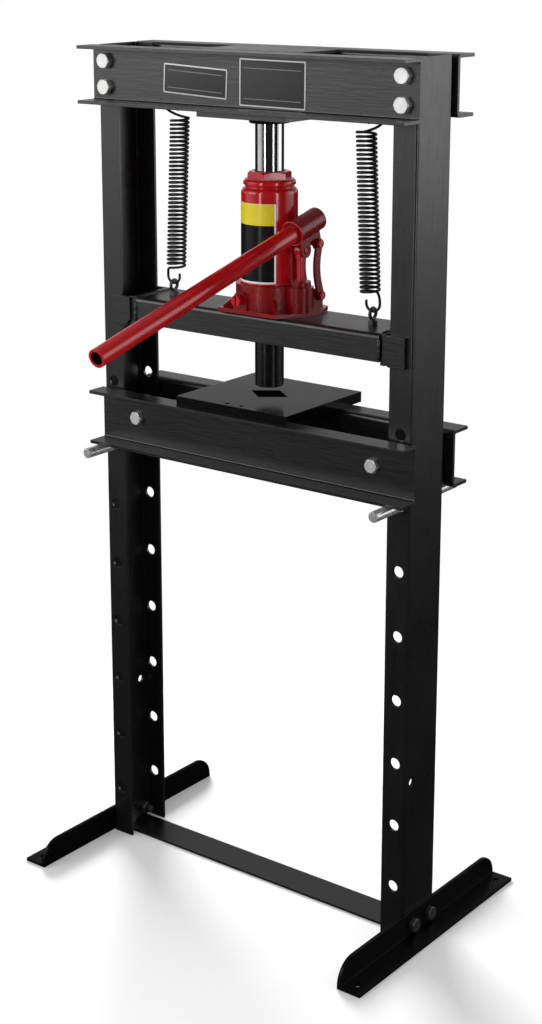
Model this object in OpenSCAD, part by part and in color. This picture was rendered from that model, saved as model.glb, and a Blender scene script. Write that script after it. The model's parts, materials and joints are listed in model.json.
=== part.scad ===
// Hydraulic workshop press: a floor-standing two-post frame with a height-adjustable bed,
// a sprung crossbar that carries a bottle jack, and a press ram under the crossbar.
// X runs along the width, Y towards the back, Z up. The origin is the middle of the footprint.

/* [Posts] */
// Width over the two posts
frame_w = 571; // [540:1:620]
// Height from the floor to the top of the head beams
frame_h = 1290; // [1276:1:1340]
// Depth of a post from front to back
post_d = 85; // [78:1:92]
// Width of a post's flanges
post_flange = 39; // [34:1:44]
// Wall of a post
post_t = 4; // [3:0.5:5]
// Outside bend radius of the posts
post_bend = 5; // [4.5:0.5:8]
// Spacing of the pin holes
hole_pitch = 98; // [88:1:100]
// Height of the lowest pin hole
hole_first = 81; // [72:1:94]
// Rows of pin holes above the bed's place
rows_above_bed = 1; // [1:1:3]
// How far the rows above the bed lie above an even spacing
upper_rise = 5; // [0:0.5:8]
// Distance of the pin holes from the outer face of a post
hole_inset = 19; // [16:0.5:23]
// Diameter of the spot hole in a post's web
spot_d = 12; // [6:1:16]
// Height of the spot hole
spot_z = 247; // [150:1:400]
// Distance of the spot hole from the middle of the web
spot_y = 26; // [10:1:28]
// Diameter of the small pilot hole beside the spot hole
pilot_d = 4; // [3:0.5:6]

/* [Head beams] */
// How far a head beam runs past the outer face of a post
head_over = 5; // [1:0.5:24]
// Height of a head beam
head_h = 86; // [80:1:100]
// Flange width of a head beam
head_flange = 42; // [34:1:50]
// Wall of a head beam
head_t = 5; // [4:0.5:6]
// Outside bend radius of the head beams
head_bend = 7; // [6.5:0.5:9]
// Gap between the posts and the rear head beam, filled by spacer rings
head_gap = 5; // [3:0.5:9]
// Spacing of the two head bolts in a post
head_bolt_pitch = 39; // [34:1:46]
// Distance of the head bolts from the outer face of a post
head_bolt_inset = 20; // [16:0.5:22]
// Size of the head bolts
head_bolt_d = 14; // [10:1:16]
// Width of the plate that ties the head beams together at the top
tie_w = 184; // [120:1:260]
// Thickness of the tie plate
tie_t = 5; // [3:0.5:8]
// Width of the bearing plate under the head beams
bearing_w = 160; // [110:1:200]
// Thickness of the bearing plate
bearing_t = 8; // [5:0.5:10]
// Sideways shift of the bearing plate
bearing_shift = 11; // [0:1:20]
// Outer diameter of the locating cup at the bearing plate
cup_top_d = 67; // [60:1:80]
// Outer diameter of the locating cup at its mouth
cup_low_d = 58; // [50:1:60]
// Height of the locating cup
cup_h = 10; // [6:0.5:14]

/* [Feet] */
// Length of a foot
foot_len = 422; // [360:2:520]
// Width of a foot's floor flange
foot_w = 39; // [34:1:60]
// Height of a foot's upright flange
foot_h = 40; // [36:1:60]
// Wall of a foot
foot_t = 5; // [4:0.5:7]
// Radius of the rounded ends of the upright flange
foot_round = 35; // [20:1:35]
// Diameter of the floor fixing holes
foot_hole_d = 10; // [8:0.5:14]
// Distance of the fixing holes from the ends of a foot
foot_hole_end = 20; // [14:1:40]
// Size of the foot bolts
foot_bolt_d = 12; // [8:1:12]
// Height of the foot bolts above the floor
foot_bolt_z = 18; // [16:0.5:24]
// Spacing of the foot bolts
foot_bolt_pitch = 44; // [36:1:50]
// Depth of the floor strap between the posts
strap_w = 54; // [50:1:70]
// Thickness of the floor strap
strap_t = 4; // [2:0.5:5]
// Height of the strap's turned-up ends
strap_tab_h = 32; // [30:1:45]

/* [Bed] */
// How far a bed channel would run past the outer face of a post, were it in the middle
bed_over = 3.5; // [1:0.5:24]
// Height of a bed channel
bed_h = 85; // [70:1:86]
// Flange width of a bed channel
bed_flange = 38.5; // [30:0.5:48]
// Wall of a bed channel
bed_t = 5; // [4:0.5:6]
// Outside bend radius of the bed channels
bed_bend = 7; // [6.5:0.5:9]
// Space between the two bed channels
bed_gap = 95; // [93:1:110]
// Distance of the bed bolts from the edges of the posts' flanges
bed_bolt_back = 27.5; // [21:0.5:66]
// Height of the bed bolts above the bed's underside
bed_bolt_z = 45; // [30:1:52]
// Size of the bed bolts
bed_bolt_d = 12; // [10:1:14]
// Outer diameter of the spacer tubes between the bed channels
bed_tube_d = 22; // [18:1:28]
// Diameter of the bed pins
pin_d = 16; // [12:0.5:20]
// Length of a bed pin
pin_len = 212; // [206:1:260]
// How far a bed pin sticks out in front of the bed
pin_proud = 27; // [20:1:50]
// Chamfer at the ends of a bed pin
pin_chamfer = 1.5; // [0.5:0.5:3]
// Width of an arbor plate
plate_w = 102; // [80:1:120]
// Depth of an arbor plate
plate_l = 190; // [182:1:220]
// Thickness of an arbor plate
plate_t = 16; // [12:1:22]
// Depth of the notch in an arbor plate
notch_depth = 35; // [20:1:50]
// Width of the notch in an arbor plate
notch_w = 53; // [30:1:80]
// Diameter of the lifting hole in an arbor plate
plate_hole_d = 8; // [5:0.5:12]
// Sideways place of the seam between the arbor plates
plate_x = -14; // [-30:1:30]
// Place of the arbor plates' middle towards the back
plate_y = 18; // [-6:1:20]

/* [Crossbar] */
// Sideways place of the crossbar and the bed, which rest off centre within their play
side_x = 6; // [0:0.5:6.5]
// Distance of the guide plates' inner edges from the posts' flanges
guide_back = 14.5; // [9:0.5:16]
// Gap between the left guide plates and the crossbar's end
left_gap = 13; // [4:0.5:16]
// Gap between the right guide plates and the crossbar's end
right_gap = 6; // [4:0.5:16]
// Least gap between the press ram and the arbor plates, which sets the bed's row of holes
work_gap = 10; // [8:0.5:16]
// Height of the crossbar
bar_h = 40; // [34:1:44]
// Wall of the crossbar
bar_t = 5; // [4:0.5:7]
// Outside bend radius of the crossbar
bar_bend = 6.5; // [6:0.5:8]
// Thickness of the guide plates
guide_t = 5; // [4:0.5:7]
// Width of a guide plate
guide_w = 36; // [32:1:38]
// Height of a guide plate
guide_h = 45; // [40:1:60]
// Chamfer of the guide plates' lower inner corners
guide_chamfer = 9; // [4:0.5:14]
// Diameter of the press ram
press_ram_d = 43; // [30:1:50]
// Length of the press ram below the crossbar's top wall
press_ram_len = 109; // [90:1:112]
// Chamfer at the press ram's lower edge
press_ram_chamfer = 1.5; // [0.5:0.5:3]

/* [Springs] */
// Distance of the spring eyes from the edges of the posts' flanges
eye_back = 63.5; // [54:0.5:96]
// Outer diameter of an eye bolt's ring
eye_d = 20; // [18:0.5:24]
// Wire of an eye bolt's ring
eye_wire = 5; // [4:0.5:5.5]
// Size of an eye bolt's shank
eye_shank_d = 8; // [6:0.5:10]
// Height of the upper eyes' middle above the head beams' underside
top_eye_rise = 8; // [6:0.5:12]
// Wire of the springs
wire_d = 3.9; // [2.5:0.1:4.2]
// Mean diameter of the spring coils
coil_d = 26.6; // [20:0.2:28]
// Whole turns of a spring, to which half a turn is added
coil_turns = 36; // [28:1:37]
// Mean radius of the hooks
hook_r = 11.5; // [10:0.5:13]
// How far the top of a coil leans in from its eye
coil_lean_top = 15; // [0:0.5:16]
// How far the bottom of a coil leans in from its eye
coil_lean_low = 5; // [0:0.5:12]

/* [Jack] */
// Height of the jack from its foot to the top of its packing nut
jack_h = 205; // [200:1:208]
// Length of the jack's ram above the packing nut
ram_out = 79; // [70:1:88]
// Diameter of the jack's ram
ram_d = 42; // [34:1:42]
// Outer diameter of the jack's tank
tank_d = 83; // [78:1:84]
// Wall of the jack's tank
tank_t = 4; // [3:0.5:5]
// Height of the collar
collar_h = 12; // [8:0.5:16]
// Diameter of the packing nut across its six corners
nut_d = 66; // [62:1:72]
// Height of the packing nut
nut_h = 11; // [9:0.5:18]
// Outer diameter of the pressure cylinder inside the tank
barrel_d = 56; // [52:1:60]
// Width of the jack's foot plate
jack_foot_w = 104; // [98:1:116]
// Depth of the jack's foot plate
jack_foot_l = 108; // [102:1:118]
// Thickness of the jack's foot plate
jack_foot_t = 6; // [4:0.5:8]
// Diameter of the jack's base body
base_d = 99; // [96:1:102]
// Height of the jack's base body
base_h = 42; // [38:1:46]
// Distance of the pump from the jack's middle
pump_x = 60.5; // [60:0.5:64]
// How far the pump lies in front of the jack's middle
pump_front = 5.5; // [0:0.5:8]
// Diameter of the pump boss
pump_boss_d = 38; // [34:1:42]
// Outer diameter of the pump cylinder
pump_d = 26; // [22:1:28]
// Diameter of the pump piston
piston_d = 12; // [10:0.5:14]
// Diameter of the linkage pins
link_pin_d = 8; // [6:0.5:9]
// Distance between the two pins in the handle socket
pivot_arm = 28; // [27:0.5:36]
// Height of the link's lower pin above the crossbar
link_low_z = 25.5; // [20:0.5:27]
// Distance of the link's lower pin behind the pump
link_low_y = 32; // [30:0.5:40]
// Thickness of the link straps
link_t = 4; // [3:0.5:5]
// Width of the link straps
link_w = 13; // [11:0.5:15]
// How far the link straps bow forward
link_bow = 8; // [4:0.5:12]
// Diameter of the release valve's stem
valve_d = 12; // [9:0.5:14]

/* [Handle] */
// Slope of the handle below the horizontal, in degrees
handle_slope = 14.3; // [8:0.1:18]
// Height of the handle's middle line above the crossbar at the pump
handle_rise = 126.5; // [122:0.5:130]
// Outer diameter of the handle tube
handle_d = 26; // [20:0.5:26]
// Wall of the handle tube
handle_t = 4; // [2:0.5:5]
// Length of the handle tube
handle_len = 475; // [300:1:600]
// Outer diameter of the handle socket
socket_d = 34; // [32:0.5:36]
// Length of the handle socket
socket_len = 62; // [58:1:80]
// Distance of the pins below the handle's middle line
socket_drop = 30; // [29:0.5:33]
// Thickness of the socket's cheeks
cheek_t = 3.5; // [3:0.5:4]

/* [Hidden] */
$fn = 64;

// Cuts run this far past the faces that they open
over = 1;
// Gap at rest between pieces that seat on each other's curved faces
seat = 0.3;
// Running fit between a shaft and its bore, on the radius
run_fit = 0.05;
// Gap between flat faces of pieces that move past each other
slip = 0.5;
// Clearance of a bolt in its hole, on the diameter
bolt_clear = 1;
// Ends of bolts and eye bolts beyond their nuts
bolt_end = 3;
// Clearance of a bed pin in its hole, on the radius
pin_clear = 0.7;
// Sides of the six-sided heads and nuts
hex_n = 6;

// Heads and nuts as shares of their bolt
hex_share = 1.6;
head_share = 0.62;
nut_share = 0.8;

// Frame places
post_x = frame_w / 2;
post_in = post_x - post_flange;
post_y = post_d / 2;
bar_stack = ram_out + jack_h;
hole_x = post_x - hole_inset;
hole_d = pin_d + 2 * pin_clear;
press_low = frame_h - head_h - bearing_t - bar_stack - bar_t - press_ram_len;
bed_stack = pin_d / 2 + seat + bed_h + plate_t;
bed_row = floor((press_low - work_gap - bed_stack - hole_first) / hole_pitch);
hole_n = bed_row + 1 + rows_above_bed;
pin_z = hole_first + bed_row * hole_pitch;
pilot_y = spot_y - 4 * post_t;
head_z = frame_h - head_h;
head_front_y = -post_y;
head_rear_y = post_y + head_gap;
head_mid_z = frame_h - head_h / 2;
head_bolt_x = post_x - head_bolt_inset;
head_len = 2 * (post_x + head_over);
head_bolt_end = 2 * head_bolt_d;
bearing_z = head_z - bearing_t;

// Bed places
bed_z = pin_z + pin_d / 2 + seat;
bed_top = bed_z + bed_h;
bed_front_y = -post_y - 2 * slip;
bed_rear_y = bed_front_y + bed_gap;
bed_bolt_up = bed_z + bed_bolt_z;
bed_bolt_x = post_in - bed_bolt_back;
bed_len = 2 * (post_x + bed_over);
plate_z = bed_top + plate_t;
plate_seam = 0.6;
plate_hole_in = 10;
plate_hole_y = plate_hole_in - plate_l / 2;
plate_hole_side = 13;

// Crossbar places
ram_top = bearing_z;
bar_top = ram_top - bar_stack;
bar_in = bar_top - bar_t;
guide_y = post_y + 2 * slip;
bar_y = guide_y + guide_t;
guide_lap = 2;
guide_in = post_in - guide_back;
bar_x0 = left_gap - guide_in;
bar_x1 = guide_in - right_gap;
guide_play = 1;

// Eye bolts and springs
eye_x = post_in - eye_back;
eye_nut_h = nut_share * eye_shank_d;
eye_r = (eye_d - eye_wire) / 2;
eye_hole = eye_r - eye_wire / 2;
low_eye_z = bar_top + eye_nut_h + eye_d / 2;
top_eye_z = head_z + top_eye_rise;
hanger_t = 6;
hanger_w = 30;
hanger_z = top_eye_z + eye_d / 2 + eye_nut_h;
low_hook_z = low_eye_z + eye_hole - wire_d / 2 - seat + hook_r;
top_hook_z = top_eye_z - eye_hole + wire_d / 2 + seat - hook_r;
hook_step = 3;
coil_z0 = low_hook_z + hook_r + hook_step;
coil_z1 = top_hook_z - hook_r - hook_step;

// Jack places
tank_z0 = bar_top + base_h;
nut_z0 = bar_top + jack_h - nut_h;
tank_z1 = nut_z0 - collar_h;
nut_low = 8;
floor_t = 3;
barrel_z0 = bar_top + jack_foot_t + floor_t;
ram_low_rise = 68;
ram_low = barrel_z0 + ram_low_rise;
seal_h = 8;
screw_d = 28;
screw_head_d = 35;
screw_head_h = 8;
screw_len = 90;
screw_room = 5;

// Handle linkage places, in the plane of the pump
handle_z = bar_top + handle_rise;
pin_u = socket_drop * tan(handle_slope);
piston_pin_z = handle_z - socket_drop * cos(handle_slope) - pin_u * sin(handle_slope);
link_top_y = pivot_arm * cos(handle_slope);
link_top_z = piston_pin_z + pivot_arm * sin(handle_slope);
link_base_z = bar_top + link_low_z;
head_half = 6.5;
cheek_in = head_half + slip;
cheek_out = cheek_in + cheek_t;
strap_in = cheek_out + slip;
strap_out = strap_in + link_t;
pin_end = 2;
pin_head_t = 2.5;
pin_head_step = 4;
pin_head_d = link_pin_d + pin_head_step;
lug_r = 9;
strap_front = link_low_y - link_bow - link_w / 2 - bolt_clear;
slot_play = 1.2;
slot_w = link_pin_d + slot_play;
slot_half = 2;
gland_h = 8;
gland_step = 4;
pump_top = bar_top + base_h + gland_h;
pump_y = -pump_front;
piston_low = 16;

// Round bars along an axis from one place to another
module rod_x(d, x0, x1) translate([x0, 0, 0]) rotate([0, 90, 0]) cylinder(d = d, h = x1 - x0);
module rod_y(d, y0, y1) translate([0, y0, 0]) rotate([-90, 0, 0]) cylinder(d = d, h = y1 - y0);
module rod_z(d, z0, z1) translate([0, 0, z0]) cylinder(d = d, h = z1 - z0);

// Places the crossbar's and the bed's pieces off centre, and the pump's beside the jack
module sideways() translate([side_x, 0, 0]) children();
module at_pump() translate([side_x + pump_x, pump_y, 0]) children();

// A box from its lowest to its highest corner
module box(a, b) translate(a) cube(b - a);

// Outline of a folded channel: its web lies on x = 0 and its flanges run towards +x
module channel_outline(w, h, t, bend) {
    difference() {
        union() {
            translate([bend, 0]) square([w - bend, h]);
            translate([0, bend]) square([w, h - 2 * bend]);
            for (y = [bend, h - bend]) translate([bend, y]) circle(r = bend);
        }
        translate([bend, t]) square([w, h - 2 * t]);
        translate([t, bend]) square([w, h - 2 * bend]);
        for (y = [bend, h - bend]) translate([bend, y]) circle(r = bend - t);
    }
}

// A channel along X whose web's outer face lies at y, with its flanges towards dir
module channel_x(len, w, h, t, bend, y, z, dir) {
    translate([-len / 2, y, z])
        scale([1, dir, 1])
            rotate([90, 0, 90]) linear_extrude(len) channel_outline(w, h, t, bend);
}

// Six-sided head or nut, with its outer face chamfered, from z = 0 up
module hex(d, h) {
    across = hex_share * d;
    corner = across / cos(30);
    intersection() {
        cylinder(d = corner, h = h, $fn = hex_n);
        union() {
            cylinder(d = corner + over, h = h - d / 8);
            translate([0, 0, h - d / 8]) cylinder(d1 = corner, d2 = across * 0.94, h = d / 8);
        }
    }
}

// Bolt along Z: its head's seat is at z = 0, its head up and its shank down to z = -len
module bolt(d, len) {
    hex(d, head_share * d);
    rotate_extrude()
        polygon([[0, -len], [d * 0.42, -len], [d / 2, -len + d / 12], [d / 2, 0], [0, 0]]);
}

// Nut along Z with its seat at z = 0
module nut(d) {
    difference() {
        hex(d, nut_share * d);
        rod_z(d + 2 * run_fit, -over, nut_share * d + over);
    }
}

// The right post: its web is outside and its flanges point to the middle
module post() {
    difference() {
        translate([post_x, -post_y, 0])
            mirror([1, 0, 0])
                linear_extrude(frame_h) channel_outline(post_flange, post_d, post_t, post_bend);
        for (i = [0 : hole_n - 1])
            translate([hole_x, 0, hole_first + i * hole_pitch + (i > bed_row ? upper_rise : 0)])
                rod_y(hole_d, -post_y - over, post_y + over);
        for (s = [-1, 1]) {
            translate([head_bolt_x, 0, head_mid_z + s * head_bolt_pitch / 2])
                rod_y(head_bolt_d + bolt_clear, -post_y - over, post_y + over);
            translate([0, s * foot_bolt_pitch / 2, foot_bolt_z])
                rod_x(foot_bolt_d + bolt_clear, post_in, post_x + over);
        }
        translate([0, -spot_y, spot_z]) rod_x(spot_d, post_in, post_x + over);
        translate([0, pilot_y, spot_z]) rod_x(pilot_d, post_in, post_x + over);
    }
}

module right_post() color("#2b2b2c") post();

module left_post() color("#2b2b2c") rotate([0, 0, 180]) post();

// Holes of the head bolts, through anything between two places in Y
module head_bolt_holes(y0, y1) {
    for (s = [-1, 1], r = [-1, 1])
        translate([s * head_bolt_x, 0, head_mid_z + r * head_bolt_pitch / 2])
            rod_y(head_bolt_d + bolt_clear, y0, y1);
}

module top_beam_front() color("#2e2e2f")
    difference() {
        channel_x(head_len, head_flange, head_h, head_t, head_bend, head_front_y, head_z, -1);
        head_bolt_holes(head_front_y - head_t - over, head_front_y + over);
    }

module top_beam_rear() color("#2e2e2f")
    difference() {
        channel_x(head_len, head_flange, head_h, head_t, head_bend, head_rear_y, head_z, 1);
        head_bolt_holes(head_rear_y - over, head_rear_y + head_t + over);
    }

// Spans the gap between the two beams, level with their top faces
module top_tie_plate() color("#2e2e2f")
    box([-tie_w / 2, head_front_y, frame_h - tie_t], [tie_w / 2, head_rear_y, frame_h]);

// Lies across both beams' lower flanges and takes the jack's thrust
module bearing_plate() color("#29292a")
    box([bearing_shift - bearing_w / 2, head_front_y - head_flange + 2 * head_t, bearing_z],
        [bearing_shift + bearing_w / 2, head_rear_y + head_flange - 2 * head_t, head_z]);

// Ring under the bearing plate that keeps the jack's ram in place
module locating_cup() color("#1d1d1e") sideways()
    difference() {
        translate([0, 0, bearing_z - cup_h]) cylinder(d1 = cup_low_d, d2 = cup_top_d, h = cup_h);
        rod_z(ram_d + 2 * slip, bearing_z - cup_h - over, bearing_z + over);
    }

module head_bolts() color("#d9dadb")
    for (s = [-1, 1], r = [-1, 1])
        translate([s * head_bolt_x, head_front_y - head_t, head_mid_z + r * head_bolt_pitch / 2])
            rotate([90, 0, 0])
                bolt(head_bolt_d, head_rear_y - head_front_y + 2 * head_t + head_bolt_end - head_bolt_d);

module head_nuts() color("#d9dadb")
    for (s = [-1, 1], r = [-1, 1])
        translate([s * head_bolt_x, head_rear_y + head_t, head_mid_z + r * head_bolt_pitch / 2])
            rotate([-90, 0, 0]) nut(head_bolt_d);

// Rings on the head bolts that fill the gap behind the posts
module head_spacers() color("#8f9092")
    for (s = [-1, 1], r = [-1, 1])
        translate([s * head_bolt_x, 0, head_mid_z + r * head_bolt_pitch / 2])
            difference() {
                rod_y(2 * head_bolt_d, post_y, head_rear_y);
                rod_y(head_bolt_d + 2 * run_fit, post_y - over, head_rear_y + over);
            }

// Flat bar welded between the head beams' webs, which carries an upper eye bolt
module hanger(x) color("#2e2e2f") sideways()
    difference() {
        box([x - hanger_w / 2, head_front_y, hanger_z], [x + hanger_w / 2, head_rear_y, hanger_z + hanger_t]);
        translate([x, 0, 0]) rod_z(eye_shank_d + bolt_clear, hanger_z - over, hanger_z + hanger_t + over);
    }

module left_spring_hanger() hanger(-eye_x);

module right_spring_hanger() hanger(eye_x);

// Eye bolt with its ring's middle at the origin, its ring across X and its shank downwards
module eye_bolt(len) color("#1c1c1d") {
    rotate([0, 90, 0]) rotate_extrude() translate([eye_r, 0]) circle(d = eye_wire, $fn = 24);
    rod_z(eye_shank_d, -eye_d / 2 - len, -eye_r);
}

top_shank = eye_nut_h + hanger_t + eye_nut_h + bolt_end;
low_shank = eye_nut_h + bar_t + eye_nut_h + bolt_end;

module left_top_eye_bolt() sideways() translate([-eye_x, 0, top_eye_z]) mirror([0, 0, 1]) eye_bolt(top_shank);

module right_top_eye_bolt() sideways() translate([eye_x, 0, top_eye_z]) mirror([0, 0, 1]) eye_bolt(top_shank);

module left_eye_bolt() sideways() translate([-eye_x, 0, low_eye_z]) eye_bolt(low_shank);

module right_eye_bolt() sideways() translate([eye_x, 0, low_eye_z]) eye_bolt(low_shank);

// Two nuts on each eye bolt, one on either side of the wall z0 to z1
module eye_nuts(z0, z1) color("#3a3a3b") sideways()
    for (s = [-1, 1]) translate([s * eye_x, 0, 0]) {
        translate([0, 0, z1]) nut(eye_shank_d);
        translate([0, 0, z0]) mirror([0, 0, 1]) nut(eye_shank_d);
    }

module top_eye_nuts() eye_nuts(hanger_z, hanger_z + hanger_t);

module crossbar_eye_nuts() eye_nuts(bar_in, bar_top);

// The right foot: an angle with its upright flange against the post
module foot() {
    straight = foot_len / 2 - foot_round;
    difference() {
        union() {
            box([post_x, -foot_len / 2, 0], [post_x + foot_w, foot_len / 2, foot_t]);
            translate([post_x, 0, 0]) rotate([90, 0, 90]) linear_extrude(foot_t) {
                translate([-foot_len / 2, 0]) square([foot_len, foot_h - foot_round]);
                translate([-straight, 0]) square([2 * straight, foot_h]);
                for (s = [-1, 1]) intersection() {
                    translate([s * straight, foot_h - foot_round]) circle(r = foot_round);
                    translate([-foot_len / 2, 0]) square([foot_len, foot_h]);
                }
            }
        }
        for (s = [-1, 1]) {
            translate([post_x + foot_w / 2 + foot_t / 2, s * (foot_len / 2 - foot_hole_end), 0])
                rod_z(foot_hole_d, -over, foot_t + over);
            translate([0, s * foot_bolt_pitch / 2, foot_bolt_z])
                rod_x(foot_bolt_d + bolt_clear, post_x - over, post_x + foot_t + over);
        }
    }
}

module right_foot() color("#161617") foot();

module left_foot() color("#161617") rotate([0, 0, 180]) foot();

// Flat strap along the floor whose turned-up ends are bolted inside the posts
strap_x = post_x - post_t;
module floor_strap() color("#303031")
    difference() {
        union() {
            box([-strap_x, -strap_w / 2, 0], [strap_x, strap_w / 2, strap_t]);
            for (s = [0, 1]) mirror([s, 0, 0])
                box([strap_x - strap_t, -strap_w / 2, 0], [strap_x, strap_w / 2, strap_tab_h]);
        }
        for (s = [-1, 1])
            translate([0, s * foot_bolt_pitch / 2, foot_bolt_z])
                rod_x(foot_bolt_d + bolt_clear, -strap_x - over, strap_x + over);
    }

foot_bolt_end = 9;
foot_bolt_len = foot_t + post_t + strap_t + nut_share * foot_bolt_d + foot_bolt_end;
module foot_bolts() color("#1b1b1c")
    for (s = [0, 1], r = [-1, 1]) mirror([s, 0, 0])
        translate([post_x + foot_t, r * foot_bolt_pitch / 2, foot_bolt_z])
            rotate([0, 90, 0]) bolt(foot_bolt_d, foot_bolt_len);

module foot_nuts() color("#55565a")
    for (s = [0, 1], r = [-1, 1]) mirror([s, 0, 0])
        translate([strap_x - strap_t, r * foot_bolt_pitch / 2, foot_bolt_z])
            rotate([0, -90, 0]) nut(foot_bolt_d);

// Holes of the bed's tie bolts, through anything between two places in Y
module bed_bolt_holes(d, y0, y1)
    for (s = [-1, 1]) translate([s * bed_bolt_x, 0, bed_bolt_up]) rod_y(d, y0, y1);

module bed_front() color("#2a2a2b") sideways()
    difference() {
        channel_x(bed_len, bed_flange, bed_h, bed_t, bed_bend, bed_front_y, bed_z, -1);
        bed_bolt_holes(bed_bolt_d + bolt_clear, bed_front_y - bed_t - over, bed_front_y + over);
    }

module bed_rear() color("#2a2a2b") sideways()
    difference() {
        channel_x(bed_len, bed_flange, bed_h, bed_t, bed_bend, bed_rear_y, bed_z, 1);
        bed_bolt_holes(bed_bolt_d + bolt_clear, bed_rear_y - over, bed_rear_y + bed_t + over);
    }

module bed_spacers() color("#303031") sideways()
    difference() {
        bed_bolt_holes(bed_tube_d, bed_front_y, bed_rear_y);
        bed_bolt_holes(bed_bolt_d + bolt_clear, bed_front_y - over, bed_rear_y + over);
    }

module bed_bolts() color("#d9dadb") sideways()
    for (s = [-1, 1]) translate([s * bed_bolt_x, bed_front_y - bed_t, bed_bolt_up])
        rotate([90, 0, 0]) bolt(bed_bolt_d, bed_gap + 2 * bed_t + nut_share * bed_bolt_d + bolt_end);

module bed_nuts() color("#d9dadb") sideways()
    for (s = [-1, 1]) translate([s * bed_bolt_x, bed_rear_y + bed_t, bed_bolt_up])
        rotate([-90, 0, 0]) nut(bed_bolt_d);

// Steel pin through both flanges of a post, under the bed
bed_pin_y = bed_front_y - bed_t - bed_flange + bed_t - pin_proud;
module bed_pin(x) color("#c4c5c8")
    translate([x, bed_pin_y, pin_z]) rotate([-90, 0, 0]) {
        cylinder(d1 = pin_d - 2 * pin_chamfer, d2 = pin_d, h = pin_chamfer);
        rod_z(pin_d, pin_chamfer, pin_len - pin_chamfer);
        translate([0, 0, pin_len - pin_chamfer])
            cylinder(d1 = pin_d, d2 = pin_d - 2 * pin_chamfer, h = pin_chamfer);
    }

module left_bed_pin() bed_pin(-hole_x);

module right_bed_pin() bed_pin(hole_x);

// Thick plate with a notch in its inner edge, drawn for the right side with its seam on x = 0
module arbor_plate() color("#0c0c0d")
    difference() {
        linear_extrude(plate_t)
            polygon([
                [0, -plate_l / 2], [plate_w, -plate_l / 2], [plate_w, plate_l / 2], [0, plate_l / 2],
                [0, notch_w / 2], [notch_depth, 0], [0, -notch_w / 2]
            ]);
        translate([plate_hole_side, plate_hole_y, 0]) rod_z(plate_hole_d, -over, plate_t + over);
    }

module right_arbor_plate() sideways() translate([plate_x + plate_seam / 2, plate_y, bed_top]) arbor_plate();

module left_arbor_plate() sideways() translate([plate_x - plate_seam / 2, plate_y, bed_top])
    mirror([1, 0, 0]) arbor_plate();

// Channel with its open side down, between the two posts
module crossbar() color("#3a3a3c") sideways()
    difference() {
        translate([bar_x0, 0, bar_top]) rotate([0, 90, 0]) linear_extrude(bar_x1 - bar_x0)
            translate([0, -bar_y]) channel_outline(bar_h, 2 * bar_y, bar_t, bar_bend);
        for (s = [-1, 1]) translate([s * eye_x, 0, 0])
            rod_z(eye_shank_d + bolt_clear, bar_in - over, bar_top + over);
    }

// End plate across the crossbar's end, and two guide plates that run in front of and behind the
// post's flanges; gap is how far the crossbar ends short of them
module guide_bracket(gap) color("#333335") {
    low = bar_top - guide_h;
    top = bar_top - guide_play;
    box([guide_in - gap, -guide_y - guide_play, low], [guide_in + guide_lap, guide_y + guide_play, bar_top]);
    for (s = [0, 1]) mirror([0, s, 0])
        translate([guide_in, -guide_y, 0]) rotate([90, 0, 0]) linear_extrude(guide_t)
            polygon([[guide_chamfer, low], [guide_w, low], [guide_w, top], [0, top], [0, low + guide_chamfer]]);
}

module right_guide_bracket() sideways() guide_bracket(right_gap);

module left_guide_bracket() sideways() mirror([1, 0, 0]) guide_bracket(left_gap);

// Round bar under the crossbar that presses on the work
module press_ram() color("#141415") sideways() {
    low = bar_in - press_ram_len;
    rod_z(press_ram_d, low + press_ram_chamfer, bar_in);
    translate([0, 0, low])
        cylinder(d1 = press_ram_d - 2 * press_ram_chamfer, d2 = press_ram_d, h = press_ram_chamfer);
}

// Extension springs: the path of the wire, from the lower hook's tip to the upper hook's tip
coil_r = coil_d / 2;
curl_rings = 8;
hook_rings = 13;
wire_sides = 6;
hook_open = 68;
blend_turn = 90;

// Smooth step from 0 to 1
function ease(t) = t <= 0 ? 0 : t >= 1 ? 1 : t * t * (3 - 2 * t);

// Place of the coil's axis and of the wire, a share t of the way up the coil
function coil_axis(t) = eye_x - coil_lean_low + (coil_lean_low - coil_lean_top) * t;
function coil_at(t) =
    let (a = -90 - 360 * (coil_turns + 0.5) * t)
    [coil_axis(t) + coil_r * cos(a), coil_r * sin(a), coil_z0 + (coil_z1 - coil_z0) * t];

// Place on a hook: a from its blend with the coil at 0 to its tip at 360 - hook_open degrees.
// z0 is the ring's middle, up is 1 for the lower hook and -1 for the upper, start the coil's end.
function hook_at(a, z0, up, start) =
    let (k = 1 - ease(a / blend_turn))
    let (ring = [eye_x + hook_r * sin(a), 0, z0 + up * hook_r * cos(a)])
    let (top = [eye_x, 0, z0 + up * hook_r])
    ring + k * (start - top);

hook_end = 360 - hook_open;
low_start = coil_at(0);
top_start = coil_at(1);
coil_steps = curl_rings * (coil_turns + 0.5);
spring_path = concat(
    [for (i = [hook_rings : -1 : 1]) hook_at(hook_end * i / hook_rings, low_hook_z, 1, low_start)],
    [for (i = [0 : coil_steps]) coil_at(i / coil_steps)],
    [for (i = [1 : hook_rings]) hook_at(hook_end * i / hook_rings, top_hook_z, -1, top_start)]
);

function unit(v) = v / norm(v);
function path_dir(p, i) = unit(p[min(i + 1, len(p) - 1)] - p[max(i - 1, 0)]);

// Side directions that turn as little as they can along the path
function path_sides(p) = [
    for (
        i = 0, u = unit(cross(path_dir(p, 0), [0, 1, 0]));
        i < len(p);
        i = i + 1,
        u = i < len(p) ? unit(u - (u * path_dir(p, i)) * path_dir(p, i)) : u
    ) u
];

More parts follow.
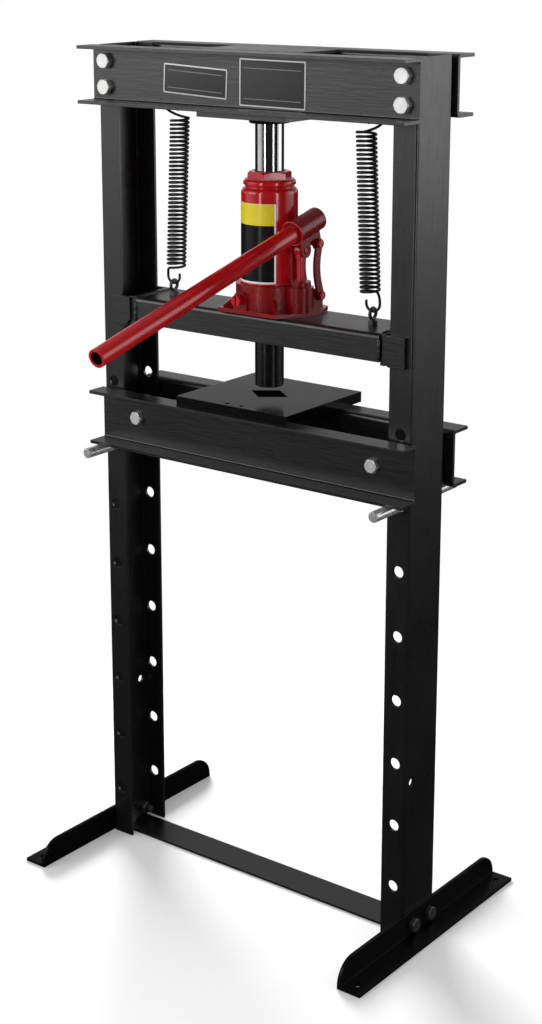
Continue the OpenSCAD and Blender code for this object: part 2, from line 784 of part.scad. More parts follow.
// A tube of wire along a path, closed at both ends
module wire_tube(p, d) {
    sides = path_sides(p);
    rings = [
        for (i = [0 : len(p) - 1], k = [0 : wire_sides - 1])
            let (a = 360 * k / wire_sides, t = path_dir(p, i))
            p[i] + d / 2 * (cos(a) * sides[i] + sin(a) * cross(t, sides[i]))
    ];
    last = (len(p) - 1) * wire_sides;
    walls = [
        for (i = [0 : len(p) - 2], k = [0 : wire_sides - 1])
            let (a = i * wire_sides + k, b = i * wire_sides + (k + 1) % wire_sides)
            each [[a, a + wire_sides, b], [b, a + wire_sides, b + wire_sides]]
    ];
    ends = [
        for (k = [1 : wire_sides - 2])
            each [[0, k, k + 1], [last, last + k + 1, last + k]]
    ];
    polyhedron(points = rings, faces = concat(walls, ends));
}

// The least gap between turns, measured on the path's points
spring_gap = min([
    for (i = [0 : len(spring_path) - 1], j = [i + 4 : len(spring_path) - 1])
        norm(spring_path[i] - spring_path[j])
]) - wire_d;
echo("spring", turns = coil_turns + 0.5, least_gap = spring_gap);

// Both springs are wound the same way round
module right_spring() color("#18181a") sideways() mirror([0, 1, 0]) wire_tube(spring_path, wire_d);

module left_spring() color("#18181a") sideways() mirror([1, 0, 0]) wire_tube(spring_path, wire_d);

// Cast base of the jack: foot plate, round body, corner ribs, pump boss and the link's lug
rib_t = 6;
rib_reach = 19;
rib_toe = 4;
rib_h = base_h * 0.56;
foot_left = 2;
boss_reach = pump_x + pump_boss_d / 2;
boss_low = 6;
valve_x = -14;
valve_up = 21;
valve_z = bar_top + valve_up;
valve_boss_d = 24;
valve_in = 4;
valve_boss_y = over - jack_foot_l / 2;
module jack_base() color("#b3101c") {
    foot_x0 = -jack_foot_w / 2 - foot_left;
    foot_x1 = jack_foot_w / 2 - foot_left;
    foot_y = jack_foot_l / 2;
    rib = base_d / 2 + rib_reach;
    difference() {
        union() {
            sideways() {
                translate([0, 0, bar_top]) linear_extrude(jack_foot_t)
                    polygon([
                        [foot_x0, -foot_y], [foot_x1, -foot_y], [boss_reach, pump_y - pump_boss_d / 4],
                        [boss_reach, pump_y + link_low_y], [boss_reach - pump_boss_d / 4, foot_y - rib_toe],
                        [foot_x1, foot_y], [foot_x0, foot_y]
                    ]);
                rod_z(base_d, bar_top, bar_top + base_h);
                for (a = [45, 135, 225, 315]) rotate([0, 0, a])
                    translate([0, rib_t / 2, bar_top]) rotate([90, 0, 0]) linear_extrude(rib_t)
                        polygon([
                            [0, 0], [rib, 0], [rib, jack_foot_t + rib_toe], [base_d / 2, rib_h], [0, rib_h]
                        ]);
                translate([valve_x, 0, valve_z]) rod_y(valve_boss_d, valve_boss_y, 0);
                box([valve_x - valve_boss_d / 2, valve_boss_y, bar_top],
                    [valve_x + valve_boss_d / 2, 0, valve_z]);
            }
            at_pump() {
                rod_z(pump_boss_d, bar_top, bar_top + base_h);
                box([-pump_x, -pump_boss_d / 3, bar_top], [0, pump_boss_d / 3, bar_top + base_h - boss_low]);
                box([-cheek_out, 0, bar_top], [cheek_out, link_low_y, link_base_z]);
                box([-cheek_out, link_low_y - over, bar_top], [cheek_out, link_low_y + lug_r, link_base_z]);
                translate([0, link_low_y, link_base_z]) rod_x(2 * lug_r, -cheek_out, cheek_out);
            }
        }
        sideways() {
            rod_z(barrel_d + 2 * seat, barrel_z0, bar_top + base_h + over);
            translate([valve_x, 0, valve_z])
                rod_y(valve_d + 2 * run_fit, valve_boss_y - over, -barrel_d / 2 - valve_in);
        }
        at_pump() {
            rod_z(pump_d + 2 * seat, barrel_z0, bar_top + base_h + over);
            box([-strap_out - slip, strap_front, link_base_z - lug_r],
                [-cheek_out, link_low_y + lug_r + over, bar_top + base_h + over]);
            translate([0, link_low_y, link_base_z])
                rod_x(link_pin_d + 2 * run_fit, -cheek_out - over, cheek_out + over);
        }
    }
}

// Outline of the tank's top: shares of its radius, and shares of the collar's height above tank_z1
shoulder_shares = [
    [1, -0.62], [0.985, -0.36], [0.945, -0.14], [0.87, 0], [0.86, 0.12], [0.885, 0.24], [0.925, 0.34],
    [0.925, 0.72], [0.9, 0.86], [0.86, 1], [0, 1]
];

// Oil tank: a tube with a rounded shoulder and a ringed collar at its top
module jack_tank() color("#b5121e") sideways()
    difference() {
        rotate_extrude() polygon(concat(
            [[0, tank_z0], [tank_d / 2, tank_z0]],
            [for (p = shoulder_shares) [p[0] * tank_d / 2, tank_z1 + p[1] * collar_h]]
        ));
        rod_z(tank_d - 2 * tank_t, tank_z0 - over, tank_z1 - 2 * tank_t);
        rod_z(barrel_d + 2 * seat, tank_z0, nut_z0 + over);
        translate([0, tank_d / 2, tank_z1 - 5 * tank_t]) rod_y(plug_d + 2 * run_fit, -2 * tank_t, over);
    }

// Pressure cylinder in which the ram slides
module jack_cylinder() color("#7d7f82") sideways()
    difference() {
        rod_z(barrel_d, barrel_z0, nut_z0 - nut_low);
        rod_z(ram_d + 2 * run_fit, barrel_z0 + jack_foot_t, nut_z0);
    }

// Six-sided nut that closes the tank's top around the ram
nut_turn = -8.8;
nut_chamfer = 3;
module jack_packing_nut() color("#ad111c") sideways()
    difference() {
        union() {
            rod_z(barrel_d - slip, nut_z0 - nut_low, nut_z0);
            translate([0, 0, nut_z0]) rotate([0, 0, nut_turn]) intersection() {
                cylinder(d = nut_d, h = nut_h, $fn = hex_n);
                union() {
                    cylinder(d = nut_d + over, h = nut_h - nut_chamfer);
                    translate([0, 0, nut_h - nut_chamfer])
                        cylinder(d1 = nut_d, d2 = nut_d * 0.86, h = nut_chamfer);
                }
            }
        }
        rod_z(ram_d + 2 * run_fit, nut_z0 - nut_low - over, nut_z0 + nut_h + over);
    }

module jack_ram() color("#d6d8da") sideways()
    difference() {
        rod_z(ram_d, ram_low + seal_h, ram_top - screw_head_h);
        rod_z(screw_d + 2 * run_fit, ram_top - screw_head_h - screw_len - screw_room, ram_top);
    }

// Cup seal under the ram
module ram_seal() color("#101011") sideways()
    difference() {
        rod_z(ram_d, ram_low, ram_low + seal_h);
        translate([0, 0, ram_low - over]) cylinder(d1 = ram_d * 0.72, d2 = ram_d * 0.4, h = seal_h * 0.7);
    }

module extension_screw() color("#b9bbbe") sideways() {
    rod_z(screw_d, ram_top - screw_head_h - screw_len, ram_top - screw_head_h);
    rod_z(screw_head_d, ram_top - screw_head_h, ram_top);
}

module pump_cylinder() color("#a8101a")
    at_pump() difference() {
        union() {
            rod_z(pump_d, barrel_z0, bar_top + base_h);
            rod_z(pump_d + gland_step, bar_top + base_h, pump_top);
        }
        rod_z(piston_d + 2 * run_fit, barrel_z0 + gland_step, pump_top + over);
    }

// Piston with a flat eye at its top for the pin
eye_drop = 12;
eye_low = piston_pin_z - eye_drop;
module pump_piston() color("#c23a3f")
    at_pump() difference() {
        union() {
            rod_z(piston_d, bar_top + piston_low, piston_pin_z);
            intersection() {
                box([-head_half, -lug_r, eye_low], [head_half, lug_r, piston_pin_z + lug_r]);
                union() {
                    translate([0, 0, piston_pin_z]) rod_x(2 * lug_r, -head_half, head_half);
                    rod_z(2 * head_half + link_t / 2, eye_low, piston_pin_z);
                }
            }
        }
        translate([0, 0, piston_pin_z]) rod_x(link_pin_d + 2 * run_fit, -head_half - over, head_half + over);
    }

// A pin along X with a flat head at its outer end, half its length on either side of x = 0
module cross_pin(half) color("#9b9da0") {
    rod_x(link_pin_d, -half, half);
    rod_x(pin_head_d, half, half + pin_head_t);
}

module piston_pin() at_pump() translate([0, 0, piston_pin_z]) color("#9b9da0")
    rod_x(link_pin_d, -cheek_out, cheek_out);

// Handle socket: a tube with two cheeks below it, in a frame whose +x runs to the handle's free end
module socket_frame() at_pump() translate([0, 0, handle_z]) rotate([handle_slope, 0, 0]) rotate([0, 0, -90])
    children();

socket_front = 22;
socket_floor = 6;
slot_lip = 2;
link_u = pin_u - pivot_arm;
module handle_socket() color("#b3101c") socket_frame()
    difference() {
        union() {
            rod_x(socket_d, socket_front - socket_len, socket_front);
            for (s = [0, 1]) mirror([0, s, 0])
                translate([0, cheek_out, 0]) rotate([90, 0, 0]) linear_extrude(cheek_t) difference() {
                    cheek_top = -handle_d / 2 + slip;
                    union() {
                        translate([link_u - lug_r, -socket_drop]) square([2 * lug_r, socket_drop + cheek_top]);
                        translate([pin_u - lug_r - slot_lip, -socket_drop])
                            square([2 * (lug_r + slot_lip), socket_drop + cheek_top]);
                        translate([link_u, -socket_drop * 0.72])
                            square([pivot_arm, socket_drop * 0.72 + cheek_top]);
                        translate([link_u, -socket_drop]) circle(r = lug_r);
                        translate([pin_u, -socket_drop]) circle(r = lug_r + slot_lip);
                    }
                    translate([link_u, -socket_drop]) circle(d = link_pin_d + 2 * run_fit);
                    translate([pin_u - slot_half, -socket_drop - slot_w / 2]) square([2 * slot_half, slot_w]);
                    for (e = [-1, 1]) translate([pin_u + e * slot_half, -socket_drop]) circle(d = slot_w);
                }
        }
        rod_x(handle_d + 2 * slip, socket_front - socket_len + socket_floor, socket_front + over);
    }

// Curved strap between the socket and the jack's base, bowed forward
function strap_y(t) = link_low_y + (link_top_y - link_low_y) * t - link_bow * sin(180 * t);
function strap_pt(t, side) =
    let (d = 0.02)
    let (a = [strap_y(t), link_base_z + (link_top_z - link_base_z) * t])
    let (b = [strap_y(t + d) - strap_y(t - d), (link_top_z - link_base_z) * 2 * d])
    a + side * link_w / 2 * [b[1], -b[0]] / norm(b);
strap_steps = 12;
strap_eye = link_w + 2 * slip + bolt_clear;
module link_strap(x0) color("#ad111c") at_pump()
    translate([x0, 0, 0]) rotate([90, 0, 90]) linear_extrude(link_t) difference() {
        union() {
            polygon(concat(
                [for (i = [0 : strap_steps]) strap_pt(i / strap_steps, 1)],
                [for (i = [strap_steps : -1 : 0]) strap_pt(i / strap_steps, -1)]
            ));
            translate([link_low_y, link_base_z]) circle(d = strap_eye);
            translate([link_top_y, link_top_z]) circle(d = strap_eye);
        }
        translate([link_low_y, link_base_z]) circle(d = link_pin_d + 2 * run_fit);
        translate([link_top_y, link_top_z]) circle(d = link_pin_d + 2 * run_fit);
    }

module link_strap_outer() link_strap(strap_in);

module link_strap_inner() link_strap(-strap_out);

module link_top_pin() at_pump() translate([0, link_top_y, link_top_z]) cross_pin(strap_out);

module link_base_pin() at_pump() translate([0, link_low_y, link_base_z]) cross_pin(strap_out);

// Screw in the base that lets the oil back, with a slot across its head
valve_head_d = 16;
valve_head_h = 7;
valve_slot = 3;
valve_seat = valve_boss_y - valve_in;
module release_valve() color("#c2202a") sideways()
    translate([valve_x, 0, valve_z]) difference() {
        union() {
            rod_y(valve_d, valve_seat, -barrel_d / 2 - valve_in - slip);
            rod_y(valve_head_d, valve_seat - valve_head_h, valve_seat);
        }
        box([-valve_slot / 2, valve_seat - valve_head_h - over, -valve_head_d],
            [valve_slot / 2, valve_seat - valve_head_h + valve_slot, valve_head_d]);
    }

plug_d = 9;
plug_proud = 3;
module filler_plug() color("#121213") sideways()
    translate([0, tank_d / 2, tank_z1 - 5 * tank_t]) {
        rod_y(plug_d, -tank_t, slip);
        rod_y(plug_d + tank_t, slip, plug_proud);
    }

handle_in = 22;
module jack_handle() color("#b0101b") socket_frame()
    difference() {
        rod_x(handle_d, -handle_in, handle_len - handle_in);
        rod_x(handle_d - 2 * handle_t, -handle_in - over, handle_len - handle_in + over);
    }

left_post();
right_post();
top_beam_front();
top_beam_rear();
top_tie_plate();
bearing_plate();
locating_cup();
head_bolts();
head_nuts();
head_spacers();
left_spring_hanger();
right_spring_hanger();
left_top_eye_bolt();
right_top_eye_bolt();
top_eye_nuts();
left_foot();
right_foot();
floor_strap();
foot_bolts();
foot_nuts();
bed_front();
bed_rear();
bed_spacers();
bed_bolts();
bed_nuts();
left_bed_pin();
right_bed_pin();
left_arbor_plate();
right_arbor_plate();
crossbar();
left_guide_bracket();
right_guide_bracket();
press_ram();
left_eye_bolt();
right_eye_bolt();
crossbar_eye_nuts();
left_spring();
right_spring();
jack_base();
jack_tank();
jack_cylinder();
jack_packing_nut();
jack_ram();
ram_seal();
extension_screw();
pump_cylinder();
pump_piston();
piston_pin();
handle_socket();
link_strap_outer();
link_strap_inner();
link_top_pin();
link_base_pin();
release_valve();
filler_plug();
jack_handle();
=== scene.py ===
"""Dresses the hydraulic workshop press: finishes, springs, plates, weld beads and small steel parts.

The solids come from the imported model. Everything else is worked out here with numpy, in metres.
"""

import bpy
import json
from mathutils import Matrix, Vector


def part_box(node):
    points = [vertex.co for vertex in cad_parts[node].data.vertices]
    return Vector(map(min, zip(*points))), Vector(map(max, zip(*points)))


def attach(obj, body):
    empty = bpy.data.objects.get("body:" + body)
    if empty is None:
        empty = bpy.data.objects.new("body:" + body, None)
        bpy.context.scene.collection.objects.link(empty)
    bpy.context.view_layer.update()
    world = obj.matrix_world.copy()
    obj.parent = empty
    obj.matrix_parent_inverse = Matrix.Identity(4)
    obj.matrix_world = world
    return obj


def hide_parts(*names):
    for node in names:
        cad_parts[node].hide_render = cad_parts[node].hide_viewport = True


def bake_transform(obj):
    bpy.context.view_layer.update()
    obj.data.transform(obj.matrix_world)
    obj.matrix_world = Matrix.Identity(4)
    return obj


bl_info = {
    "name": "Hydraulic workshop press",
    "version": (1, 0, 0),
    "blender": (4, 5, 0),
    "location": "3D View > Sidebar > Press",
    "description": "Finishes, springs, plates and welds for a two-post workshop press",
    "category": "Object",
}

import json
import math

import bpy
import numpy as np
from mathutils import Matrix, Vector

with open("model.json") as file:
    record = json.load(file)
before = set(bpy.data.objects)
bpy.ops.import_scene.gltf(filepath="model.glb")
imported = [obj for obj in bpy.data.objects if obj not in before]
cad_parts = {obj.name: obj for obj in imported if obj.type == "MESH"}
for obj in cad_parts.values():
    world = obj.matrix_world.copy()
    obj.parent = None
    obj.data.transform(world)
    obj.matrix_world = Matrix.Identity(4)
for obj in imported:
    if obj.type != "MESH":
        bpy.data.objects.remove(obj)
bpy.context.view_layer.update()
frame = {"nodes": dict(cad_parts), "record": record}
NODES = frame["nodes"]

# Photograph: size in pixels, focal length and principal point in pixels, and the camera's place
PHOTO = (542, 1024)
FOCAL = 1854.03
CENTRE = (223.93, 392.18)
EYE = (1.62395, -2.13997, 1.45032)
YAW, PITCH, ROLL = (math.radians(a) for a in (38.54, -13.9, -0.31))

# Places and sizes that the part's source has too
SIDE_X = 0.006
BAR_TOP = 0.912
BEAM_FACE = -0.0475
HANDLE_SLOPE = math.radians(14.3)
HANDLE_AT = (0.0665, -0.0055, 1.0385)
HANDLE_OUT = (0.0, -math.cos(HANDLE_SLOPE), -math.sin(HANDLE_SLOPE))
HANDLE_BORE_R = 0.0094
SOCKET_FRONT = 0.022

# Return springs: the coil leans from one eye to the other, with a hook at each end
EYE_X = 0.183
COIL_R = 0.0133
WIRE_R = 0.00195
HOOK_R = 0.0115
TURNS = 36.5
HOOK_LOW = 0.94265
HOOK_TOP = 1.19775
COIL_LOW = 0.95715
COIL_TOP = 1.18325
LEAN_LOW = 0.005
LEAN_TOP = 0.015
HOOK_END = math.radians(292)
TURN_POINTS = 30
HOOK_POINTS = 70
WIRE_TAPER = np.array((0.55, 0.85, 0.97))

# Bolts: their places, the radii of their threads, and how far a thread starts inside its nut and
# ends past its bolt
HEAD_BOLT_X = 0.2655
HEAD_BOLT_Z = (1.2275, 1.2665)
BED_BOLT_X = 0.219
FOOT_BOLT_Y = 0.022
FOOT_BOLT_Z = 0.018
FOOT_NUT_FACE = 0.2679
FOOT_BOLT_END = 0.2589
HEAD_THREAD_R = 0.007
BED_THREAD_R = 0.006
FOOT_THREAD_R = 0.006
EYE_THREAD_R = 0.004
THREAD_IN = 0.001
THREAD_OUT = 0.0003

# Weld beads: how far they stop short of the ends or corners of their joints, half the length of
# the crossbar's end welds and how far these lie below its top
TIE_SHORT = 0.02
CORNER_SHORT = 0.004
HANGER_SHORT = 0.002
BAR_WELD_Y = 0.040
BAR_WELD_DOWN = 0.0005
BAR_SHORT = 0.007

# Sign plates on the head beam: name, width, height, place (x, z), tilt, and the places of the two
# rules as shares of the height. RULE_SIZE is a rule's height, corner and depth.
SIGN_PLATES = (
    ("small", 0.118, 0.043, (-0.093, 1.2436), -0.045, (0.28, -0.3)),
    ("large", 0.116, 0.067, (0.0465, 1.2455), -0.008, (0.3, -0.34)),
)
SIGN_CORNER = 0.0016
SIGN_BORDER = 0.0042
FACE_CORNER = 0.001
FACE_DEPTH = 0.00018
RULE_SIZE = (0.0011, 0.0005, 0.00008)
RULE_SHORT = 0.016
RULE_LIFT = 0.0002

# A thin sheet stands off by this much from what it lies on
HAIR = 0.00002

# Film round the tank: heights, angles from the front, its border at the sides, top and foot, the
# depth of its upper band, and the thickness of its two layers
FILM_LOW = BAR_TOP + 0.045
FILM_HIGH = BAR_TOP + 0.1612
FILM_START = math.radians(-80)
FILM_END = math.radians(50)
FILM_BORDER = 0.0026
FILM_TOP_BORDER = 0.0004
FILM_FOOT_BORDER = 0.003
FILM_BAND = 0.0312
FILM_GROUND = 0.00022
FILM_PRINT = 0.00034

# Jack's tank: outside, bore, the collar's bore and depth, the collar's height over the packing
# nut's foot, and the radius of its rounded corners
TANK_R = 0.0415
TANK_BORE_R = 0.0375
COLLAR_BORE_R = 0.0283
COLLAR_DEEP = 0.02
COLLAR_UP = 0.008
TANK_ROUND = 0.0012
# Outline of the tank's shoulder and collar, down from the collar's top: radius and height
TANK_TOP = (
    (0.0415, -0.0195), (0.0409, -0.0163), (0.0392, -0.0137), (0.0361, -0.012), (0.0357, -0.0106),
    (0.0367, -0.0091), (0.0384, -0.0079), (0.0384, -0.0034), (0.03735, -0.0017), (0.0357, 0.0),
    (COLLAR_BORE_R, 0.0),
)
# Outline of the ram's wiper ring, from the packing nut's top: radius and height
WIPER = ((0.0212, -0.001), (0.0225, -0.001), (0.0225, 0.0004), (0.022, 0.0009), (0.0212, 0.001))

# Rings of round wire: radius of the ring and of the wire; how far the seam is up from the tank's
# foot, the lip back from the socket's front and a clip in from its pin's end; a clip's opening
TANK_SEAM = (TANK_R + 0.0004, 0.0016)
SOCKET_LIP = (0.0175, 0.0014)
PIN_CLIP = (0.0041, 0.0007)
SEAM_UP = 0.0012
LIP_BACK = 0.0008
CLIP_IN = 0.0006
CLIP_GAP = 0.9

# Rolling lines of the sheet run along the beams and along the posts
BEAM_GRAIN = (1.0, 1.0, 11.0)
POST_GRAIN = (5.0, 5.0, 1.0)

# Camera's sensor in millimetres, and the floor's half width and how far it lies below the feet
SENSOR = 36
FLOOR_HALF = 40
FLOOR_DROP = 0.0004


# Settings that a user would change
class PressSizes(bpy.types.PropertyGroup):
    weld: bpy.props.FloatProperty(
        name="Weld bead", description="Radius of the weld beads", default=0.0026, min=0.001,
        max=0.006, unit="LENGTH")
    plate: bpy.props.FloatProperty(
        name="Sign plate", description="Thickness of the bare sign plates on the head beam",
        default=0.0007, min=0.0003, max=0.002, unit="LENGTH")
    thread: bpy.props.FloatProperty(
        name="Thread pitch", description="Pitch of the threads on the bolt ends",
        default=0.0019, min=0.001, max=0.003, unit="LENGTH")
    edge: bpy.props.FloatProperty(
        name="Edge", description="Radius of the softened edges in the paint", default=0.0009,
        min=0.0, max=0.003, unit="LENGTH")


class PressColours(bpy.types.PropertyGroup):
    coat: bpy.props.FloatVectorProperty(
        name="Powder coat", description="Colour of the frame's powder coat", subtype="COLOR",
        default=(0.004, 0.004, 0.0041), min=0.0, max=1.0)
    enamel: bpy.props.FloatVectorProperty(
        name="Enamel", description="Colour of the jack's enamel", subtype="COLOR",
        default=(0.43, 0.0045, 0.008), min=0.0, max=1.0)
    band: bpy.props.FloatVectorProperty(
        name="Band", description="Colour of the upper band on the tank", subtype="COLOR",
        default=(0.63, 0.51, 0.008), min=0.0, max=1.0)
    floor: bpy.props.FloatVectorProperty(
        name="Floor", description="Colour of the studio floor", subtype="COLOR",
        default=(0.8, 0.8, 0.8), min=0.0, max=1.0)


# Shader maths
class Value:
    """A number in a shader. Arithmetic on it adds Math nodes to its tree."""

    def __init__(self, finish, socket):
        self.finish = finish
        self.socket = socket

    def join(self, operation, first, second):
        node = self.finish.node("ShaderNodeMath", {"operation": operation}, {0: first, 1: second})
        return Value(self.finish, node.outputs[0])

    def __add__(self, other):
        return self.join("ADD", self, other)

    __radd__ = __add__

    def __mul__(self, other):
        return self.join("MULTIPLY", self, other)

    __rmul__ = __mul__

    def __sub__(self, other):
        return self.join("SUBTRACT", self, other)

    def __rsub__(self, other):
        return self.join("SUBTRACT", other, self)

    def __pow__(self, other):
        return self.join("POWER", self, other)

    def most(self, other):
        return self.join("MAXIMUM", self, other)

    def least(self, other):
        return self.join("MINIMUM", self, other)

    def step(self, low, high):
        """Rises smoothly from 0 at low to 1 at high."""
        node = self.finish.node(
            "ShaderNodeMapRange", {"interpolation_type": "SMOOTHSTEP"},
            {"Value": self, "From Min": low, "From Max": high})
        return Value(self.finish, node.outputs[0])


class Nodes:
    """The nodes of a finish or of the surroundings, under construction."""

    def __init__(self, owner):
        owner.use_nodes = True
        self.tree = owner.node_tree
        self.tree.nodes.clear()

    def node(self, kind, settings=None, values=None):
        """Adds a node: its settings first, then constants or links for its sockets."""
        made = self.tree.nodes.new(kind)
        for key, setting in (settings or {}).items():
            setattr(made, key, setting)
        for key, value in (values or {}).items():
            self.put(made.inputs[key], value)
        return made

    def put(self, socket, value):
        if isinstance(value, Value):
            value = value.socket
        if isinstance(value, bpy.types.NodeSocket):
            self.tree.links.new(value, socket)
        elif hasattr(value, "__len__") and len(value) == 3 and len(socket.default_value) == 4:
            socket.default_value = (*value, 1.0)
        else:
            socket.default_value = value

    def axes(self, point):
        """The three parts of a point, as Values."""
        node = self.node("ShaderNodeSeparateXYZ", {}, {0: point})
        return [Value(self, out) for out in node.outputs]

    def rays(self, *kinds):
        """1 for rays of these kinds, otherwise 0."""
        path = self.node("ShaderNodeLightPath")
        found = [Value(self, path.outputs[f"Is {kind} Ray"]) for kind in kinds]
        return found[0] if len(found) == 1 else found[0].most(found[1])

    def boards(self, x, y):
        """1 towards the white boards at the front left and the right, by the angle of (x, y)."""
        angle = y.join("ARCTAN2", y, x) * math.degrees(1)
        left = angle.step(-168, -155) * (1.0 - angle.step(-138, -100))
        right = angle.step(4, 10) * (1.0 - angle.step(56, 62))
        return left + right

    def blend(self, mask, low, high):
        """Shader low where mask is 0 and high where it is 1."""
        return self.node("ShaderNodeMixShader", {}, {0: mask, 1: low, 2: high}).outputs[0]


class Finish(Nodes):
    """A material under construction, with one Principled shader."""

    def __init__(self, name):
        self.material = bpy.data.materials.new(name)
        super().__init__(self.material)
        self.shader = self.node("ShaderNodeBsdfPrincipled")
        self.out = self.node("ShaderNodeOutputMaterial", {}, {"Surface": self.shader.outputs[0]})
        self.place = self.node("ShaderNodeTexCoord").outputs["Object"]

    def set(self, **values):
        """Sets the shader's sockets; a name's underscores are spaces."""
        for key, value in values.items():
            self.put(self.shader.inputs[key.replace("_", " ")], value)

    def noise(self, scale, detail=3.0, rough=0.5, stretch=(1.0, 1.0, 1.0)):
        """Fractal noise from 0 to 1 with cells of about 1 / scale metres."""
        point = self.node("ShaderNodeMapping", {}, {"Vector": self.place, "Scale": stretch})
        values = {"Vector": point.outputs[0], "Scale": scale, "Detail": detail, "Roughness": rough}
        return Value(self, self.node("ShaderNodeTexNoise", {}, values).outputs["Fac"])

    def cells(self, scale):
        """Distance to the nearest of many scattered points."""
        node = self.node("ShaderNodeTexVoronoi", {}, {"Vector": self.place, "Scale": scale})
        return Value(self, node.outputs["Distance"])

    def mix(self, mask, low, high):
        """Colour low where mask is 0 and high where it is 1."""
        node = self.node(
            "ShaderNodeMix", {"data_type": "RGBA"}, {0: mask, 6: low, 7: high})
        return node.outputs[2]

    def inside(self, bore):
        """1 nearer to an axis than a radius: the length of the offset's cross product with the axis."""
        at, along, radius = bore
        offset = self.node("ShaderNodeVectorMath", {"operation": "SUBTRACT"}, {0: self.place, 1: at})
        arm = self.node(
            "ShaderNodeVectorMath", {"operation": "CROSS_PRODUCT"}, {0: offset.outputs[0], 1: along})
        far = self.node("ShaderNodeVectorMath", {"operation": "LENGTH"}, {0: arm.outputs[0]})
        return Value(self, far.outputs["Value"]).step(radius + 0.0002, radius - 0.0002)

    def soft_edges(self, radius):
        """A normal with rounded edges, and a mask that is 1 on those edges."""
        bevel = self.node("ShaderNodeBevel", {"samples": 4}, {"Radius": radius})
        plain = self.node("ShaderNodeNewGeometry")
        dot = self.node(
            "ShaderNodeVectorMath", {"operation": "DOT_PRODUCT"},
            {0: bevel.outputs[0], 1: plain.outputs["Normal"]})
        mask = 1.0 - Value(self, dot.outputs["Value"])
        return bevel.outputs[0], mask.step(0.015, 0.16)

    def bump(self, height, depth, normal=None):
        """A normal bumped by height, with depth in metres between 0 and 1."""
        values = {"Height": height, "Distance": depth, "Strength": 1.0}
        if normal is not None:
            values["Normal"] = normal
        return self.node("ShaderNodeBump", {}, values).outputs[0]


def tone(colour, factor):
    """A colour made lighter or darker."""
    return tuple(min(1.0, c * factor) for c in colour)


def powder_coat(name, colour, edge, gloss=0.0, shine=0.85, grain=BEAM_GRAIN):
    """Satin powder coat: fine orange peel, faint rolling lines along grain, and edges painted lighter, for
    a thin coat there and as a painted highlight.
    """
    f = Finish(name)
    cloud = f.noise(7.0, 4.0, 0.6)
    lines = f.noise(26.0, 4.0, 0.65, grain)
    peel = f.noise(1300.0, 2.0)
    dust = f.noise(420.0, 3.0, 0.7)
    normal, edge_wear_and_glint = f.soft_edges(edge)
    shade = (cloud * 0.55 + lines * 0.45).step(0.3, 0.72)
    base = f.mix(shade, tone(colour, 0.82), tone(colour, 1.22))
    speck = dust.step(0.68, 0.78) * 0.25
    base = f.mix(speck, base, tone(colour, 2.6))
    # painted highlight and wear: the edges are painted lighter
    base = f.mix(edge_wear_and_glint * 0.55, base, tone(colour, 4.2))
    f.set(Base_Color=base, Roughness=(0.26 - gloss) + shade * 0.1 - edge_wear_and_glint * 0.05)
    f.set(Normal=f.bump(peel * 0.15 + lines * 0.85, 0.00028 - 0.0014 * gloss, normal))
    f.set(Specular_IOR_Level=shine)
    return f.material


def enamel(name, colour, edge, cast=0.0, bore=None):
    """Glossy red enamel, painted lighter on the edges for thin enamel there and as a painted highlight;
    cast is how rough the casting under it is.

    bore, if given, is a point and a direction of an axis, and a radius within which the enamel is painted
    near black as shade.
    """
    f = Finish(name)
    cloud = f.noise(18.0, 3.0)
    peel = f.noise(700.0, 2.0)
    sand = f.noise(260.0, 4.0, 0.65)
    normal, edge_wear_and_glint = f.soft_edges(edge)
    shade = cloud.step(0.3, 0.7)
    base = f.mix(shade, tone(colour, 0.86), tone(colour, 1.1))
    dip = sand.step(0.56, 0.36) * (0.06 + cast * 0.4)
    base = f.mix(dip, base, tone(colour, 0.5))
    # painted highlight and wear: the edges are painted a lighter red
    base = f.mix(edge_wear_and_glint * 0.3, base, (0.55, 0.04, 0.05))
    # painted shade: inside the bore the enamel is painted near black
    if bore:
        base = f.mix(f.inside(bore), base, (0.006, 0.004, 0.004))
    height = peel * (0.25 - 0.1 * cast) + sand * cast
    f.set(Base_Color=base, Roughness=0.16 + shade * 0.05 + dip * 0.3)
    f.set(Normal=f.bump(height, 0.00005 + 0.00035 * cast, normal))
    f.set(Specular_IOR_Level=0.36 - 0.08 * cast)
    f.set(Coat_Weight=0.36 - 0.2 * cast, Coat_Roughness=0.06 + 0.12 * cast)
    return f.material


def plating(name, colour, rough, edge, grain=(1.0, 1.0, 1.0), metal=1.0):
    """Plated or bare steel, with faint cloudiness and machining marks along one direction."""
    f = Finish(name)
    cloud = f.noise(55.0, 4.0, 0.6)
    marks = f.noise(190.0, 3.0, 0.6, grain)
    normal, edge_wear_and_glint = f.soft_edges(edge)
    shade = (cloud * 0.6 + marks * 0.4).step(0.32, 0.68)
    base = f.mix(shade, tone(colour, 0.84), tone(colour, 1.08))
    # painted highlight and wear: the edges are painted lighter
    base = f.mix(edge_wear_and_glint * 0.5, base, tone(colour, 1.5))
    f.set(Base_Color=base, Metallic=metal, Roughness=rough + shade * 0.1 + marks * 0.06)
    f.set(Normal=f.bump(marks, 0.00001, normal))
    return f.material


def hard_chrome(name):
    """Ground and polished chrome with hair-fine rings and a thin film of oil."""
    f = Finish(name)
    rings = f.noise(60.0, 2.0, 0.5, (0.2, 0.2, 40.0))
    film = f.noise(30.0, 4.0, 0.6, (1.0, 1.0, 0.35))
    base = f.mix(film.step(0.35, 0.75), (0.62, 0.62, 0.62), (0.46, 0.46, 0.46))
    f.set(Base_Color=base, Metallic=1.0, Roughness=0.06 + film.step(0.45, 0.8) * 0.12)
    f.set(Normal=f.bump(rings, 0.000012))
    return f.material


